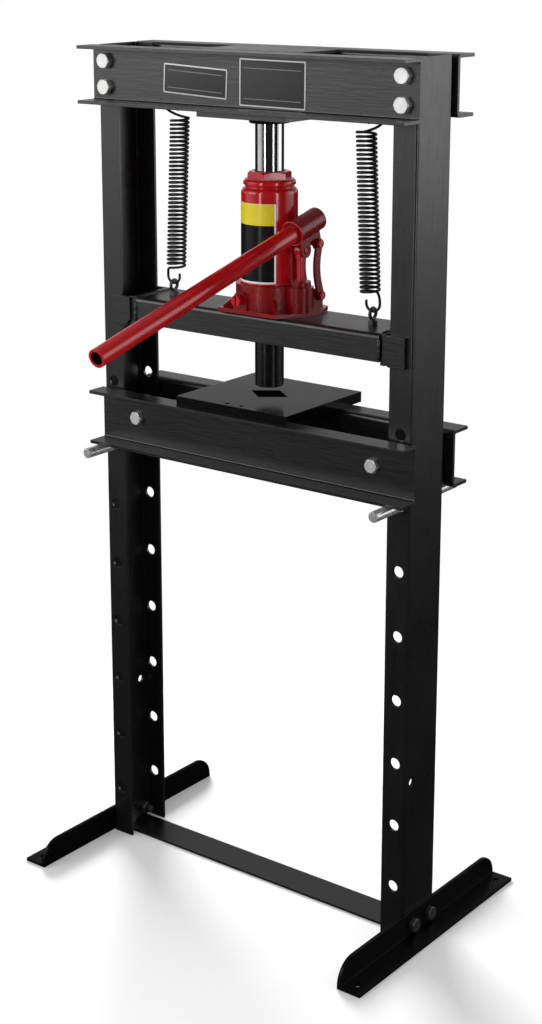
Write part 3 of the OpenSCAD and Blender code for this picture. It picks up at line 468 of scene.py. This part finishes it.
def black_wire(name):
    """Oil-black spring wire: drawn along its length, rubbed where turns catch the light."""
    f = Finish(name)
    cloud = f.noise(120.0, 4.0, 0.65)
    fine = f.noise(1500.0, 2.0)
    base = f.mix(cloud.step(0.4, 0.75), (0.012, 0.012, 0.013), (0.045, 0.043, 0.042))
    f.set(Base_Color=base, Metallic=0.55, Roughness=0.36 + cloud * 0.2)
    f.set(Normal=f.bump(fine, 0.00003))
    return f.material


def soft_rubber(name):
    """Matt rubber with a light bloom."""
    f = Finish(name)
    bloom = f.noise(90.0, 4.0, 0.6)
    base = f.mix(bloom.step(0.45, 0.8), (0.014, 0.014, 0.014), (0.04, 0.04, 0.04))
    f.set(Base_Color=base, Roughness=0.62 + bloom * 0.2, Normal=f.bump(bloom, 0.0001))
    return f.material


def printed_film(name, colour, rough, metal=0.0, shine=0.5):
    """Printed film with a faint weave of ink dots and scuffs."""
    f = Finish(name)
    dots = f.cells(1600.0)
    scuff = f.noise(75.0, 5.0, 0.7, (1.0, 1.0, 3.0)).step(0.6, 0.82)
    base = f.mix(dots.step(0.2, 0.6) * 0.35, tone(colour, 1.06), tone(colour, 0.85))
    base = f.mix(scuff * 0.3, base, tone(colour, 1.4))
    f.set(Base_Color=base, Metallic=metal, Roughness=rough + scuff * 0.25)
    f.set(Normal=f.bump(dots, 0.00001), Specular_IOR_Level=shine)
    return f.material


# Surfaces
def unit(rows):
    """Each row made one long."""
    return rows / np.linalg.norm(rows, axis=-1, keepdims=True)


def shell(grid, around=True, ends="open"):
    """Points and faces from a grid of rings: grid[i, j] is point j of ring i.

    Rings close on themselves where around is true. ends is open, capped with a flat face at each
    end, or looped, where the last ring joins the first.
    """
    rings, sides = grid.shape[:2]
    index = np.arange(rings * sides).reshape(rings, sides)
    below, above = index[:-1], index[1:]
    if ends == "looped":
        below, above = index, np.roll(index, -1, 0)
    if around:
        quads = np.stack([below, np.roll(below, -1, 1), np.roll(above, -1, 1), above], -1)
    else:
        quads = np.stack([below[:, :-1], below[:, 1:], above[:, 1:], above[:, :-1]], -1)
    faces = [quads.reshape(-1, 4)]
    if ends == "capped":
        faces += [index[:1, ::-1], index[-1:]]
    return grid.reshape(-1, 3), faces


def joined(name, shells, sharp=35.0):
    """One object made of shells, placed as they are, with sharp edges from an angle in degrees."""
    points = np.concatenate([rows for rows, _ in shells])
    starts = np.cumsum([0] + [len(rows) for rows, _ in shells])
    faces = []
    for (_, groups), start in zip(shells, starts):
        for group in groups:
            faces += (group + start).tolist()
    mesh = bpy.data.meshes.new(name)
    mesh.from_pydata(points.tolist(), [], faces)
    mesh.update()
    mesh.shade_smooth()
    mesh.set_sharp_from_angle(angle=math.radians(sharp))
    obj = bpy.data.objects.new(name, mesh)
    bpy.context.scene.collection.objects.link(obj)
    return obj


def surface(name, grid, around=True, ends="open", sharp=35.0):
    """One object from one grid of rings."""
    return joined(name, [shell(grid, around, ends)], sharp)


def place(obj, body, slot, material, *replaced):
    """Gives a piece its body, its finish and the nodes that it stands for; slot is not used."""
    obj.data.materials.clear()
    obj.data.materials.append(material)
    if replaced:
        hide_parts(*replaced)
    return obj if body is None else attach(obj, body)


def directions(path, closed=False):
    """Unit tangents of a path, from the difference of its neighbours."""
    if closed:
        return unit(np.roll(path, -1, 0) - np.roll(path, 1, 0))
    return unit(np.gradient(path, axis=0))


def tube(path, radius, side, sides=16, closed=False):
    """Rings of a round tube: centre + radius * (cos a * u + sin a * v), with u near side."""
    along = directions(path, closed)
    u = unit(side - np.sum(side * along, 1, keepdims=True) * along)
    v = np.cross(along, u)
    a = np.linspace(0, 2 * np.pi, sides, endpoint=False)
    radius = np.broadcast_to(radius, len(path))[:, None, None]
    rim = np.cos(a)[None, :, None] * u[:, None] + np.sin(a)[None, :, None] * v[:, None]
    return path[:, None] + radius * rim


def turned(r, h, a, axis="z"):
    """Points at radius r, height h along an axis through the origin, and angle a about it."""
    x, y = r * np.cos(a), r * np.sin(a)
    h = np.broadcast_to(h, x.shape)
    return np.stack({"z": (x, y, h), "y": (y, h, x), "x": (h, x, y)}[axis], -1)


def lathe(profile, sides, at):
    """Rings of a turned shape round a vertical axis: profile rows are (radius, height)."""
    profile = np.asarray(profile, float)
    a = np.linspace(0, 2 * np.pi, sides, endpoint=False)
    return turned(profile[:, :1], profile[:, 1:], a) + np.asarray(at, float)


def rounded(profile, radius, steps=4):
    """An open outline whose inner corners are replaced by short arcs."""
    before = profile[1:-1] - profile[:-2]
    after = profile[2:] - profile[1:-1]
    reach = np.minimum(np.linalg.norm(before, axis=1), np.linalg.norm(after, axis=1)) * 0.45
    reach = np.minimum(reach, radius)[:, None, None]
    t = np.linspace(0, 1, steps + 1)[None, :, None]
    start = profile[1:-1, None] - unit(before)[:, None] * reach
    end = profile[1:-1, None] + unit(after)[:, None] * reach
    arcs = (1 - t) ** 2 * start + 2 * t * (1 - t) * profile[1:-1, None] + t ** 2 * end
    return np.concatenate([profile[:1], arcs.reshape(-1, 2), profile[-1:]])


def bead(path, normal, radius, closed=False, pitch=0.0032):
    """A weld bead: a tube whose radius swells with each ripple of the weld."""
    path = np.asarray(path, float)
    steps = np.linalg.norm(np.diff(path, axis=0), axis=1)
    far = np.concatenate([[0], np.cumsum(steps)])
    count = max(24, int(far[-1] / pitch * 6))
    s = np.linspace(0, far[-1], count, endpoint=not closed)
    line = np.stack([np.interp(s, far, path[:, k]) for k in range(3)], 1)
    swell = 1 + 0.13 * np.abs(np.sin(np.pi * s / pitch)) + 0.06 * np.sin(2.3 * s / pitch)
    if not closed:
        taper = np.minimum(np.minimum(s, far[-1] - s) / (2.2 * radius), 1.0)
        swell = swell * (0.35 + 0.65 * np.sqrt(np.clip(taper, 0, 1)))
    side = np.broadcast_to(np.asarray(normal, float), line.shape)
    grid = tube(line, radius * swell, side, 10, closed)
    return shell(grid, True, "looped" if closed else "capped")


def circle(radius, at, count=96):
    """Points of a level circle, closed by repeating the first."""
    a = np.linspace(0, 2 * np.pi, count + 1)
    return turned(radius, 0, a) + np.asarray(at, float)


# Springs
def spring_line(mirror):
    """The wire's path, as the part's source has it.

    A hook is a ring in the XZ plane, and the coil climbs from one hook's end to the other's
    while its axis leans. side is a direction square to the wire, outwards from each curl.
    """
    def coil(t):
        a = -np.pi / 2 - 2 * np.pi * TURNS * t
        lean = EYE_X - LEAN_LOW + (LEAN_LOW - LEAN_TOP) * t
        spot = np.stack([lean + COIL_R * np.cos(a), COIL_R * np.sin(a),
                         COIL_LOW + (COIL_TOP - COIL_LOW) * t], 1)
        return spot, np.stack([np.cos(a), np.sin(a), 0 * a], 1)

    def hook(a, middle, up, start):
        share = np.clip(np.degrees(a) / 90, 0, 1)
        keep = (1 - share ** 2 * (3 - 2 * share))[:, None]
        ring = np.stack([EYE_X + HOOK_R * np.sin(a), 0 * a, middle + up * HOOK_R * np.cos(a)], 1)
        return ring + keep * (start - np.array([EYE_X, 0, middle + up * HOOK_R]))

    t = np.linspace(0, 1, int(TURNS * TURN_POINTS))
    body, out = coil(t)
    a = np.linspace(0, HOOK_END, HOOK_POINTS)[1:]
    low = hook(a, HOOK_LOW, 1, body[0])[::-1]
    top = hook(a, HOOK_TOP, -1, body[-1])
    front = np.broadcast_to(out[0], low.shape)
    back = np.broadcast_to(out[-1], top.shape)
    path = np.concatenate([low, body, top])
    side = np.concatenate([front, out, back])
    turn = (mirror, -mirror, 1)
    return path * turn + (SIDE_X, 0, 0), side * turn


class PRESS_OT_springs(bpy.types.Operator):
    """Winds the two return springs in round wire"""

    bl_idname = "press.springs"
    bl_label = "Return springs"

    def execute(self, context):
        finish = black_wire("oil_black_wire")
        for side, mirror in (("left", -1), ("right", 1)):
            path, out = spring_line(mirror)
            ends = np.full(len(path), WIRE_R)
            ends[:3] *= WIRE_TAPER
            ends[-3:] *= WIRE_TAPER[::-1]
            wire = surface(f"{side}_spring_wire", tube(path, ends, out, 14), True, "capped", 50)
            place(wire, None, "spring_steel", finish, f"{side}_spring")
            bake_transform(wire)
        return {"FINISHED"}


# Plates and films
def rim(width, height, corner, count=8):
    """Outline of a rectangle with round corners, counter-clockwise, as (x, z) rows."""
    a = np.linspace(0, np.pi / 2, count)
    centres = np.array([(1, 1), (-1, 1), (-1, -1), (1, -1)], float)
    centres = centres * (width / 2 - corner, height / 2 - corner)
    turns = a[None, :] + np.arange(4)[:, None] * np.pi / 2
    arcs = np.stack([np.cos(turns), np.sin(turns)], -1) * corner + centres[:, None]
    return arcs.reshape(-1, 2)


def sheet_on_beam(name, width, height, corner, depth, lift, at, tilt):
    """A thin flat plate on the head beam: an outline lofted forward, with a soft edge."""
    shapes = [(0.0, 0.0), (0.0, depth * 0.6), (depth * 0.35, depth * 0.95), (depth, depth)]
    c, s = math.cos(tilt), math.sin(tilt)
    rings = []
    for inset, out in shapes:
        line = rim(width - 2 * inset, height - 2 * inset, max(corner - inset, 1e-4))
        x = at[0] + line[:, 0] * c - line[:, 1] * s
        z = at[1] + line[:, 0] * s + line[:, 1] * c
        rings.append(np.stack([x, np.full_like(x, BEAM_FACE - lift - out), z], 1))
    return surface(name, np.array(rings)[:, ::-1], True, "capped", 30)


def film_on_tank(name, low, high, start, end, lift):
    """A film bent round the tank: a grid in angle and height, and its edges just off the tank."""
    a = np.linspace(start, end, 72)
    a = np.concatenate([[a[0]], a, [a[-1]]])
    rise = np.full(len(a), lift - HAIR)
    rise[[0, -1]] = 0
    z = np.array([low, low, high, high])[:, None]
    deep = np.array([0, 1, 1, 0])[:, None]
    grid = turned(TANK_R + HAIR + rise * deep, z, a - np.pi / 2) + (SIDE_X, 0, 0)
    return surface(name, grid, False, "open", 30)


class PRESS_OT_plates(bpy.types.Operator):
    """Puts two bare rimmed plates on the head beam and a plain banded film on the jack's tank"""

    bl_idname = "press.plates"
    bl_label = "Plates and films"

    def execute(self, context):
        thick = context.scene.press_sizes.plate
        silver = printed_film("silver_rim", (0.56, 0.57, 0.58), 0.34, 0.55)
        dark = printed_film("dark_print", (0.022, 0.019, 0.02), 0.3, shine=0.4)
        black = printed_film("black_print", (0.006, 0.006, 0.006), 0.24, shine=0.2)
        pale = printed_film("pale_print", (0.78, 0.78, 0.76), 0.36)
        band = printed_film("yellow_band", tuple(context.scene.press_colours.band), 0.33)
        rule = printed_film("grey_rule", (0.2, 0.2, 0.205), 0.34)
        rule_height, rule_corner, rule_depth = RULE_SIZE
        for size, width, height, at, tilt, rows in SIGN_PLATES:
            back = sheet_on_beam(f"{size}_plate_rim", width, height, SIGN_CORNER, thick, HAIR, at, tilt)
            place(back, "frame", "zinc", silver)
            face = sheet_on_beam(
                f"{size}_plate_face", width - SIGN_BORDER, height - SIGN_BORDER, FACE_CORNER, FACE_DEPTH,
                thick + HAIR, at, tilt)
            place(face, "frame", "plate_paint", dark)
            for number, row in enumerate(rows):
                drop = row * height
                spot = (at[0] - drop * math.sin(tilt), at[1] + drop * math.cos(tilt))
                line = sheet_on_beam(
                    f"{size}_plate_rule_{number}", width - RULE_SHORT, rule_height, rule_corner,
                    rule_depth, thick + RULE_LIFT, spot, tilt)
                place(line, "frame", "zinc", rule)
        inset = FILM_BORDER / TANK_R
        start, end, split = FILM_START + inset, FILM_END - inset, FILM_HIGH - FILM_BAND
        ground = film_on_tank("tank_film", FILM_LOW, FILM_HIGH, FILM_START, FILM_END, FILM_GROUND)
        place(ground, "carriage", "red_enamel", pale)
        top, low = FILM_HIGH - FILM_TOP_BORDER, FILM_LOW + FILM_FOOT_BORDER
        upper = film_on_tank("tank_film_band", split, top, start, end, FILM_PRINT)
        place(upper, "carriage", "red_enamel", band)
        lower = film_on_tank("tank_film_panel", low, split, start, end, FILM_PRINT)
        place(lower, "carriage", "plate_paint", black)
        return {"FINISHED"}


# Welds
class PRESS_OT_welds(bpy.types.Operator):
    """Runs weld beads along the joints of the head, the crossbar and the press ram"""

    bl_idname = "press.welds"
    bl_label = "Weld beads"

    def execute(self, context):
        r = context.scene.press_sizes.weld
        edge = context.scene.press_sizes.edge
        coat = powder_coat("welded_coat", tuple(context.scene.press_colours.coat), edge)
        up = (0, 0, 1)
        head = []
        low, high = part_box("top_tie_plate")
        for y in (low.y, high.y):
            ends = [(low.x + TIE_SHORT, y, low.z), (high.x - TIE_SHORT, y, low.z)]
            head.append(bead(ends, up, r))
        low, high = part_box("bearing_plate")
        for x in (low.x, high.x):
            for y0, y1 in ((low.y + CORNER_SHORT, BEAM_FACE), (-BEAM_FACE, high.y - CORNER_SHORT)):
                head.append(bead([(x, y0, high.z), (x, y1, high.z)], up, r))
        for side in ("left", "right"):
            low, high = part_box(f"{side}_spring_hanger")
            for y in (low.y, high.y):
                ends = [(low.x + HANGER_SHORT, y, high.z), (high.x - HANGER_SHORT, y, high.z)]
                head.append(bead(ends, up, r))
        head.append(self.round_bead("locating_cup", r))
        place(joined("head_welds", head), "frame", "frame_paint", coat)
        bar = []
        low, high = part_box("crossbar")
        for x in (low.x, high.x):
            z = high.z - BAR_WELD_DOWN
            bar.append(bead([(x, -BAR_WELD_Y, z), (x, BAR_WELD_Y, z)], up, r))
            for y in (low.y, high.y):
                ends = [(x, y, low.z + CORNER_SHORT), (x, y, high.z - BAR_SHORT)]
                bar.append(bead(ends, (1, 0, 0), r))
        bar.append(self.round_bead("press_ram", r))
        place(joined("crossbar_welds", bar), "carriage", "frame_paint", coat)
        return {"FINISHED"}

    def round_bead(self, node, r):
        """A bead round the top of a round solid."""
        low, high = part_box(node)
        return bead(circle((high.x - low.x) / 2, (SIDE_X, 0, high.z)), (0, 0, 1), r, True)


# Small steel parts
def thread(radius, pitch, start, end, at, axis):
    """A threaded sleeve over a bolt's end: the radius follows the helix as a ridged wave."""
    h = np.linspace(start, end, int(abs(end - start) / pitch * 8))[:, None]
    a = np.linspace(0, 2 * np.pi, 28, endpoint=False)
    wave = np.abs(((h / pitch - a / (2 * np.pi)) % 1.0) * 2 - 1)
    r = radius + 0.0001 - 0.00055 * np.clip(wave * 1.3 - 0.15, 0, 1)
    fade = np.clip(np.abs(end - h) / pitch, 0, 1)
    r = np.maximum(r * (0.93 + 0.07 * fade), radius * 0.9)
    grid = turned(r, h, a, axis) + np.asarray(at, float)
    if end < start:
        grid = grid[:, ::-1]
    return shell(grid, True, "capped")


def ring(name, radius, wire, at, axis, gap=0.0, count=64):
    """An open or closed ring of round wire, square to axis: at + radius * (cos a * u + sin a * v)."""
    a = np.linspace(gap / 2, 2 * np.pi - gap / 2, count, endpoint=gap > 0)[:, None]
    u = unit(np.cross(axis, (0.3, 0.9, 0.1)))
    v = np.cross(axis, u)
    spoke = np.cos(a) * u + np.sin(a) * v
    path = spoke * radius + np.asarray(at, float)
    ends = "capped" if gap else "looped"
    return surface(name, tube(path, wire, spoke, 12, not gap), True, ends, 50)


class PRESS_OT_fasteners(bpy.types.Operator):
    """Cuts threads on the bolt ends and the eye bolts"""

    bl_idname = "press.fasteners"
    bl_label = "Threads"

    def execute(self, context):
        pitch = context.scene.press_sizes.thread
        edge = context.scene.press_sizes.edge * 0.5
        zinc = plating("thread_zinc", (0.62, 0.63, 0.64), 0.3, edge)
        dark = plating("thread_dark", (0.07, 0.07, 0.073), 0.4, edge, metal=0.8)
        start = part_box("head_nuts")[1].y - THREAD_IN
        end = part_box("head_bolts")[1].y + THREAD_OUT
        head = [
            thread(HEAD_THREAD_R, pitch, start, end, (x, 0, z), "y")
            for x in (-HEAD_BOLT_X, HEAD_BOLT_X) for z in HEAD_BOLT_Z]
        place(joined("head_bolt_threads", head), "frame", "zinc", zinc)
        low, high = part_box("bed_bolts")
        start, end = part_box("bed_nuts")[1].y - THREAD_IN, high.y + THREAD_OUT
        z = (low.z + high.z) / 2
        bed = [
            thread(BED_THREAD_R, pitch, start, end, (x + SIDE_X, 0, z), "y")
            for x in (-BED_BOLT_X, BED_BOLT_X)]
        place(joined("bed_bolt_threads", bed), "frame", "zinc", zinc)
        start, end = FOOT_NUT_FACE - THREAD_IN, FOOT_BOLT_END - THREAD_OUT
        foot = [
            thread(FOOT_THREAD_R, pitch * 0.9, s * start, s * end, (0, y, FOOT_BOLT_Z), "x")
            for s in (-1, 1) for y in (-FOOT_BOLT_Y, FOOT_BOLT_Y)]
        place(joined("foot_bolt_threads", foot), "frame", "dark_steel", dark)
        # The upper eye bolts end above their nuts, the lower ones below
        for name, body, bolt, nuts, s in (
                ("upper_eye_threads", "frame", "top_eye_bolt", "top_eye_nuts", 1),
                ("lower_eye_threads", "carriage", "eye_bolt", "crossbar_eye_nuts", -1)):
            tip = max(s, 0)
            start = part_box(nuts)[tip].z - s * THREAD_IN
            made = []
            for side in ("left", "right"):
                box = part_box(f"{side}_{bolt}")
                at = ((box[0].x + box[1].x) / 2, 0, 0)
                end = box[tip].z + s * THREAD_OUT
                made.append(thread(EYE_THREAD_R, pitch * 0.65, start, end, at, "z"))
            place(joined(name, made), body, "dark_steel", dark)
        return {"FINISHED"}


class PRESS_OT_jack_trim(bpy.types.Operator):
    """Adds the jack's rolled tank, its seam and wiper ring, the socket's lip and the pin clips"""

    bl_idname = "press.jack_trim"
    bl_label = "Jack trim"

    def execute(self, context):
        edge = context.scene.press_sizes.edge * 0.6
        red = enamel("trim_enamel", tuple(context.scene.press_colours.enamel), edge)
        steel = plating("clip_steel", (0.5, 0.5, 0.51), 0.3, edge)
        rubber = soft_rubber("wiper_rubber")
        nut_low, nut_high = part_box("jack_packing_nut")
        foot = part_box("jack_tank")[0].z
        wiper = surface("ram_wiper", lathe(WIPER, 72, (SIDE_X, 0, nut_high.z)), True, "looped", 40)
        place(wiper, "carriage", "seal_rubber", rubber)
        top = nut_low.z + COLLAR_UP
        deep = top - COLLAR_DEEP
        outline = rounded(np.concatenate([
            [(TANK_BORE_R, foot), (TANK_R, foot)],
            np.array(TANK_TOP) + (0, top),
            [(COLLAR_BORE_R, deep), (TANK_BORE_R, deep)]]), TANK_ROUND)
        tank = surface("tank_shell", lathe(outline, 128, (SIDE_X, 0, 0)), True, "looped", 50)
        place(tank, "carriage", "red_enamel", red, "jack_tank")
        seam = ring("tank_seam", *TANK_SEAM, (SIDE_X, 0, foot + SEAM_UP), (0, 0, 1), count=96)
        place(seam, "carriage", "red_enamel", red)
        out = np.array(HANDLE_OUT)
        at = HANDLE_AT + out * (SOCKET_FRONT - LIP_BACK)
        lip = ring("socket_lip", *SOCKET_LIP, at, out, count=96)
        place(lip, "socket", "red_enamel", red)
        for name, body in (("link_base_pin", "carriage"), ("link_top_pin", "link")):
            low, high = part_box(name)
            at = (low.x + CLIP_IN, (low.y + high.y) / 2, (low.z + high.z) / 2)
            place(ring(f"{name}_clip", *PIN_CLIP, at, (1, 0, 0), CLIP_GAP), body, "bright_steel", steel)
        return {"FINISHED"}


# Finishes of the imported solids
class PRESS_OT_finishes(bpy.types.Operator):
    """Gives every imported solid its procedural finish"""

    bl_idname = "press.finishes"
    bl_label = "Finishes"

    def execute(self, context):
        edge = context.scene.press_sizes.edge
        coat = tuple(context.scene.press_colours.coat)
        red = tuple(context.scene.press_colours.enamel)
        made = {
            "frame_paint": powder_coat("satin_coat", coat, edge),
            "plate_paint": powder_coat("gloss_coat", tone(coat, 0.8), edge, 0.16, 0.12),
            "red_enamel": enamel("red_enamel", red, edge),
            "zinc": plating("bright_zinc", (0.82, 0.815, 0.8), 0.36, edge * 0.7, metal=0.85),
            "dark_steel": plating("black_steel", (0.1, 0.1, 0.103), 0.36, edge * 0.6, metal=0.8),
            "bright_steel": plating(
                "ground_steel", (0.8, 0.8, 0.8), 0.2, edge * 0.6, (1.0, 9.0, 1.0), 0.8),
            "chrome_plate": hard_chrome("hard_chrome"),
            "spring_steel": black_wire("spring_black"),
            "seal_rubber": soft_rubber("seal_rubber"),
        }
        # painted shade: the jack's base, pump, socket and straps get the enamel darkened to 0.43, besides
        # their rough cast finish
        cast = enamel("cast_enamel_painted_shade", tone(red, 0.43), edge, 1.0)
        # painted shade: the handle's bore is painted near black
        tube_red_shaded_bore = enamel("tube_enamel_shaded_bore", red, edge, bore=(HANDLE_AT, HANDLE_OUT, HANDLE_BORE_R))
        # painted shade: the feet at the bottom get a darker, duller copy of the frame's coat
        dark = powder_coat("foot_coat_painted_shade", tone(coat, 0.6), edge, 0.1, 0.12)
        ram = powder_coat("ram_coat", coat, edge, 0.1, 0.5)
        post = powder_coat("post_coat", coat, edge, grain=POST_GRAIN)
        own = {
            "jack_handle": tube_red_shaded_bore, "left_foot": dark, "right_foot": dark, "press_ram": ram,
            "left_post": post, "right_post": post,
        }
        for name in ("jack_base", "pump_cylinder", "handle_socket", "link_strap_outer", "link_strap_inner"):
            own[name] = cast
        slots = {s["node"]: s["material_slot"] for s in frame["record"]["subparts"]}
        for name, obj in NODES.items():
            obj.data.materials.clear()
            obj.data.materials.append(own.get(name, made[slots[name]]))
        return {"FINISHED"}


# Studio
def lamp(name, at, aim, size, power, shown=True):
    """A soft rectangular lamp that points at aim; shown says whether shiny faces show it."""
    light = bpy.data.lights.new(name, "AREA")
    light.shape = "RECTANGLE"
    light.size, light.size_y = size
    light.energy = power
    obj = bpy.data.objects.new(name, light)
    bpy.context.scene.collection.objects.link(obj)
    obj.visible_camera = False
    obj.visible_glossy = shown
    obj.location = at
    obj.rotation_euler = (Vector(aim) - Vector(at)).to_track_quat("-Z", "Y").to_euler()
    return obj


class PRESS_OT_stage(bpy.types.Operator):
    """Sets the camera, the soft lamps, the white surroundings and the pale floor"""

    bl_idname = "press.stage"
    bl_label = "Studio"

    def execute(self, context):
        scene = context.scene
        scene.view_settings.view_transform = "Standard"
        data = bpy.data.cameras.new("photo_camera")
        camera = bpy.data.objects.new("photo_camera", data)
        scene.collection.objects.link(camera)
        ahead = Vector((-math.sin(YAW) * math.cos(PITCH), math.cos(YAW) * math.cos(PITCH), math.sin(PITCH)))
        level = Vector((math.cos(YAW), math.sin(YAW), 0))
        lift = level.cross(ahead)
        right = level * math.cos(ROLL) + lift * math.sin(ROLL)
        up = lift * math.cos(ROLL) - level * math.sin(ROLL)
        turn = Matrix((right, up, -ahead)).transposed()
        camera.location = EYE
        camera.rotation_euler = turn.to_euler()
        data.sensor_width = SENSOR
        data.lens = FOCAL / PHOTO[1] * SENSOR
        data.shift_x = (PHOTO[0] / 2 - CENTRE[0]) / PHOTO[1]
        data.shift_y = (CENTRE[1] - PHOTO[1] / 2) / PHOTO[1]
        data.clip_start, data.clip_end = 0.05, 60
        scene.camera = camera

        # The surroundings are white to the camera. Shiny pieces see white boards at the front left
        # and the right, and a grey wall behind.
        world = bpy.data.worlds.new("studio_world")
        scene.world = world
        sky = Nodes(world)
        across, along, height = sky.axes(sky.node("ShaderNodeTexCoord").outputs["Generated"])
        wall = (along * 0.8 - across * 0.6).step(-0.2, 0.6) * (0.72 - height.step(0.12, 0.3) * 0.45)
        seen = sky.boards(across, along) * height.step(0.45, 0.3) + wall + 0.03
        clear, shiny = sky.rays("Camera", "Transmission"), sky.rays("Glossy")
        share = clear * 0.45 + 0.55 + shiny * (seen.least(1.0) - 0.55)
        dark = sky.node("ShaderNodeBackground", {}, {"Color": (1, 1, 1), "Strength": 0.0})
        white = sky.node("ShaderNodeBackground", {}, {"Color": (1, 1, 1), "Strength": 1.0})
        shown = sky.blend(share, dark.outputs[0], white.outputs[0])
        sky.node("ShaderNodeOutputWorld", {}, {"Surface": shown})

        lamp("front_softbox", (-2.1, -2.6, 2.2), (0, 0, 1.1), (2.2, 1.9), 31)
        lamp("side_softbox", (2.0, 1.9, 1.6), (0, 0, 1.2), (1.5, 1.7), 10)
        lamp("left_strip", (-0.05, -2.6, 1.7), (0, 0, 1.25), (0.28, 2.6), 19)
        strip = lamp("right_strip", (2.4, -0.97, 1.7), (0, 0, 1.25), (0.28, 2.6), 19)
        strip.visible_diffuse = False
        lamp("back_lamp", (-2.9, 2.35, 2.1), (0, 0, 0.0), (1.7, 1.7), 285, False)

        # The floor is pale and takes the press's shadow near it, and is plain white further off
        a = np.array([-FLOOR_HALF, FLOOR_HALF])
        x, y = np.meshgrid(a, a)
        floor = surface("studio_floor", np.stack([x, y, 0 * x - FLOOR_DROP], -1), False)
        f = Finish("studio_floor")
        tint = f.noise(3.0, 3.0)
        shade = tuple(context.scene.press_colours.floor)
        f.set(Base_Color=f.mix(tint, tone(shade, 0.99), tone(shade, 1.01)), Roughness=0.9)
        f.set(Specular_IOR_Level=0.1)
        across, along, _ = f.axes(f.place)
        far = (across * across + along * along) ** 0.5
        clear, shiny = f.rays("Camera", "Transmission"), f.rays("Glossy")
        glow = f.node("ShaderNodeEmission", {}, {"Color": (1, 1, 1), "Strength": 1.0})
        # painted shade: to shiny pieces the floor near the press is a near black glow, though it is lit
        # white
        shade_for_reflections = f.node("ShaderNodeEmission", {}, {"Color": (1, 1, 1), "Strength": 0.02})
        lit = f.blend(clear, f.blend(shiny, f.shader.outputs[0], shade_for_reflections.outputs[0]), f.shader.outputs[0])
        white = clear * (far.step(0.5, 1.05) * 0.9 + 0.1)
        # far off, the floor glows white to shiny pieces towards the boards, a glow that only reflections
        # show
        white = white + shiny * far.step(1.5, 9.0) * f.boards(across, along)
        f.put(f.out.inputs["Surface"], f.blend(white, lit, glow.outputs[0]))
        floor.data.materials.append(f.material)
        return {"FINISHED"}


class PRESS_PT_panel(bpy.types.Panel):
    """Lists the press's steps and settings"""

    bl_idname = "PRESS_PT_panel"
    bl_label = "Workshop press"
    bl_space_type = "VIEW_3D"
    bl_region_type = "UI"
    bl_category = "Press"

    def draw(self, context):
        column = self.layout.column()
        for group in (context.scene.press_sizes, context.scene.press_colours):
            for key in group.bl_rna.properties.keys():
                if key not in ("rna_type", "name"):
                    column.prop(group, key)
        for step in STEPS:
            column.operator(step.bl_idname)


STEPS = (
    PRESS_OT_stage, PRESS_OT_finishes, PRESS_OT_springs, PRESS_OT_plates, PRESS_OT_welds,
    PRESS_OT_fasteners, PRESS_OT_jack_trim,
)
CLASSES = (PressSizes, PressColours, *STEPS, PRESS_PT_panel)


def register():
    for item in CLASSES:
        bpy.utils.register_class(item)
    bpy.types.Scene.press_sizes = bpy.props.PointerProperty(type=PressSizes)
    bpy.types.Scene.press_colours = bpy.props.PointerProperty(type=PressColours)


def unregister():
    del bpy.types.Scene.press_colours
    del bpy.types.Scene.press_sizes
    for item in reversed(CLASSES):
        bpy.utils.unregister_class(item)


def main():
    register()
    bpy.ops.press.stage()
    bpy.ops.press.finishes()
    bpy.ops.press.springs()
    bpy.ops.press.plates()
    bpy.ops.press.welds()
    bpy.ops.press.fasteners()
    bpy.ops.press.jack_trim()


if __name__ == "__main__":
    main()
